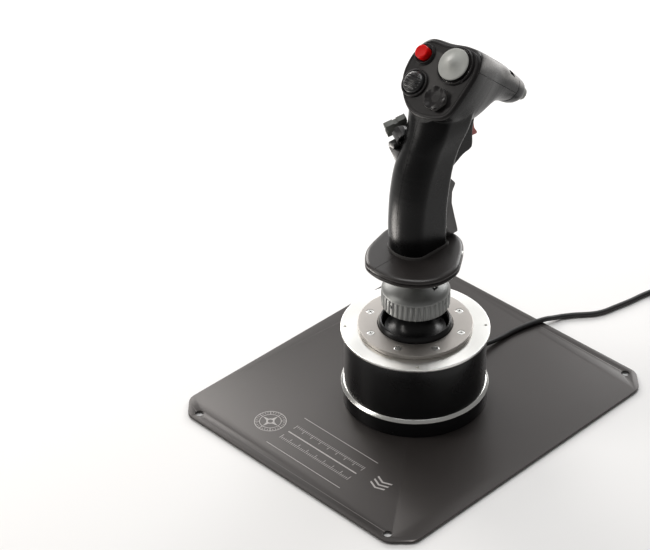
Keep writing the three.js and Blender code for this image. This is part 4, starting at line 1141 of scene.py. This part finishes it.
def make_scalloped_hat():
    def outline(angle):
        return 0.95 + 0.05 * math.cos(6 * angle)

    def height(r, angle):
        dish = 3.6 + 1.5 * max(0, (r - 3.2) / 6.5) ** 1.3
        lobes = 0.55 * max(0, (r - 5.5) / 4) * math.cos(6 * angle)
        edge = 0.9 * max(0, (r - 8.9)) ** 2
        return dish + lobes - edge

    shape = polar_cap(10.0, height, rings=40, bottom=2.1, outline=outline)
    hat = clean_cap("scalloped_cap", shape, SCALLOPED_HAT)
    boolean(hat, "UNION", to_object("stem", stem(3), on_face(SCALLOPED_HAT)))
    piece(hat, "face_plastic", "scalloped_hat", "scalloped_hat", sharp=50)


def make_release_button():
    turned_piece("release_ring", [
        (6.2, 0.05), (9.1, 0.05), (9.1, 1.1), (8.5, 1.2), (8.4, 2.1), (7.9, 2.4), (7.4, 2.4), (7.2, 0.9),
        (6.2, 0.9),
    ], "face_plastic", "stick", "release_bezel", cut=0.2, matrix=on_face(RELEASE_BUTTON))
    turned_piece("release_cap", [(0, -4), (5.6, -4), (5.6, 6.3), (4.9, 7.0), (0, 7.1)], "button_red",
                 "release_button", "release_button", cut=0.6, matrix=on_face(RELEASE_BUTTON), closed=False)


# the nose button's own axes: Z points back into the nose
NOSE = (HEAD @ Matrix.Translation((0, 33, -96)) @ Matrix.Rotation(math.radians(-16), 4, "Y")
        @ Matrix.Rotation(math.radians(9), 4, "X"))


def make_nose():
    start = COVER_FRONT + SEAM_GAP + 0.1
    loops = [head_loop(in_table(HEAD_SECTIONS, start), -0.4)]
    for depth in (start + 0.35, 84, 88, 91.5, 95, HEAD_DEPTH):
        loops.append(head_loop(in_table(HEAD_SECTIONS, depth)))
    cap = to_object("nose", loft(loops), HEAD)
    beyond = to_object("beyond", block((-30, -30, -20), (30, 30, 0)), NOSE)
    bore = to_object("bore", cylinder(7.3, -8, 9), NOSE)
    boolean(cap, "DIFFERENCE", beyond)
    boolean(bevelled(cap, 0.8, 4), "DIFFERENCE", bore)
    piece(cap, "grip_plastic", "stick", "nose_cap", sharp=30)
    turned_piece("nose_ring", [
        (5.6, 8.5), (7.0, 8.5), (7.0, 0.2), (6.8, 0.2), (6.8, -0.2), (7.0, -0.2), (7.0, -1.0), (6.4, -1.6),
        (5.6, -1.6),
    ], "black_plastic", "stick", "nose_bezel", cut=0.2, segments=96, matrix=NOSE)
    turned_piece("nose_cap_button", [(0, 6), (5.2, 6), (5.2, -7), (4.6, -7.6), (0, -7.6)],
                 "light_grey", "nose_button", "nose_button", cut=0.5, segments=96, matrix=NOSE, closed=False)


make_face()
make_trim_hat()
make_ridged_hat()
make_scalloped_hat()
make_release_button()
make_nose()

# ---------------------------------------------------------------- left side and small CAD pieces


def from_cad(name, node, look, body, bevel):
    """A CAD node's own shape with its flat triangles joined and its edges rounded."""
    obj = linked(name, cleaned(nodes[node].data.copy(), merge=True, flatten=True))
    return piece(bevelled(obj, bevel), look, body, node)


from_cad("side_bracket", "side_housing", "black_plastic", "stick", 0.5)
from_cad("side_cap", "side_hat", "dark_grey", "side_hat", 0.45)
from_cad("mode_key", "mode_button", "black_plastic", "mode_button", 0.5)


def make_strain_relief():
    low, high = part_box("strain_relief")
    start, end = low.y / MM, high.y / MM
    profile = [(0, start), (5, start), (5, 60.6), (4.2, 61.4)]
    ribs = 4
    for i in range(ribs):
        y = 61.6 + (end - 61.6) * i / ribs
        r = 4.2 - 1.3 * i / ribs
        profile += [(r, y), (r - 0.05, y + 1.3), (r - 0.6, y + 1.5), (r - 0.6, y + 2.0)]
    profile += [(2.75, end), (0, end)]
    piece(to_object("cord_relief", lathe(profile, 48), GLAND), "rubber", "base", "strain_relief")


make_strain_relief()
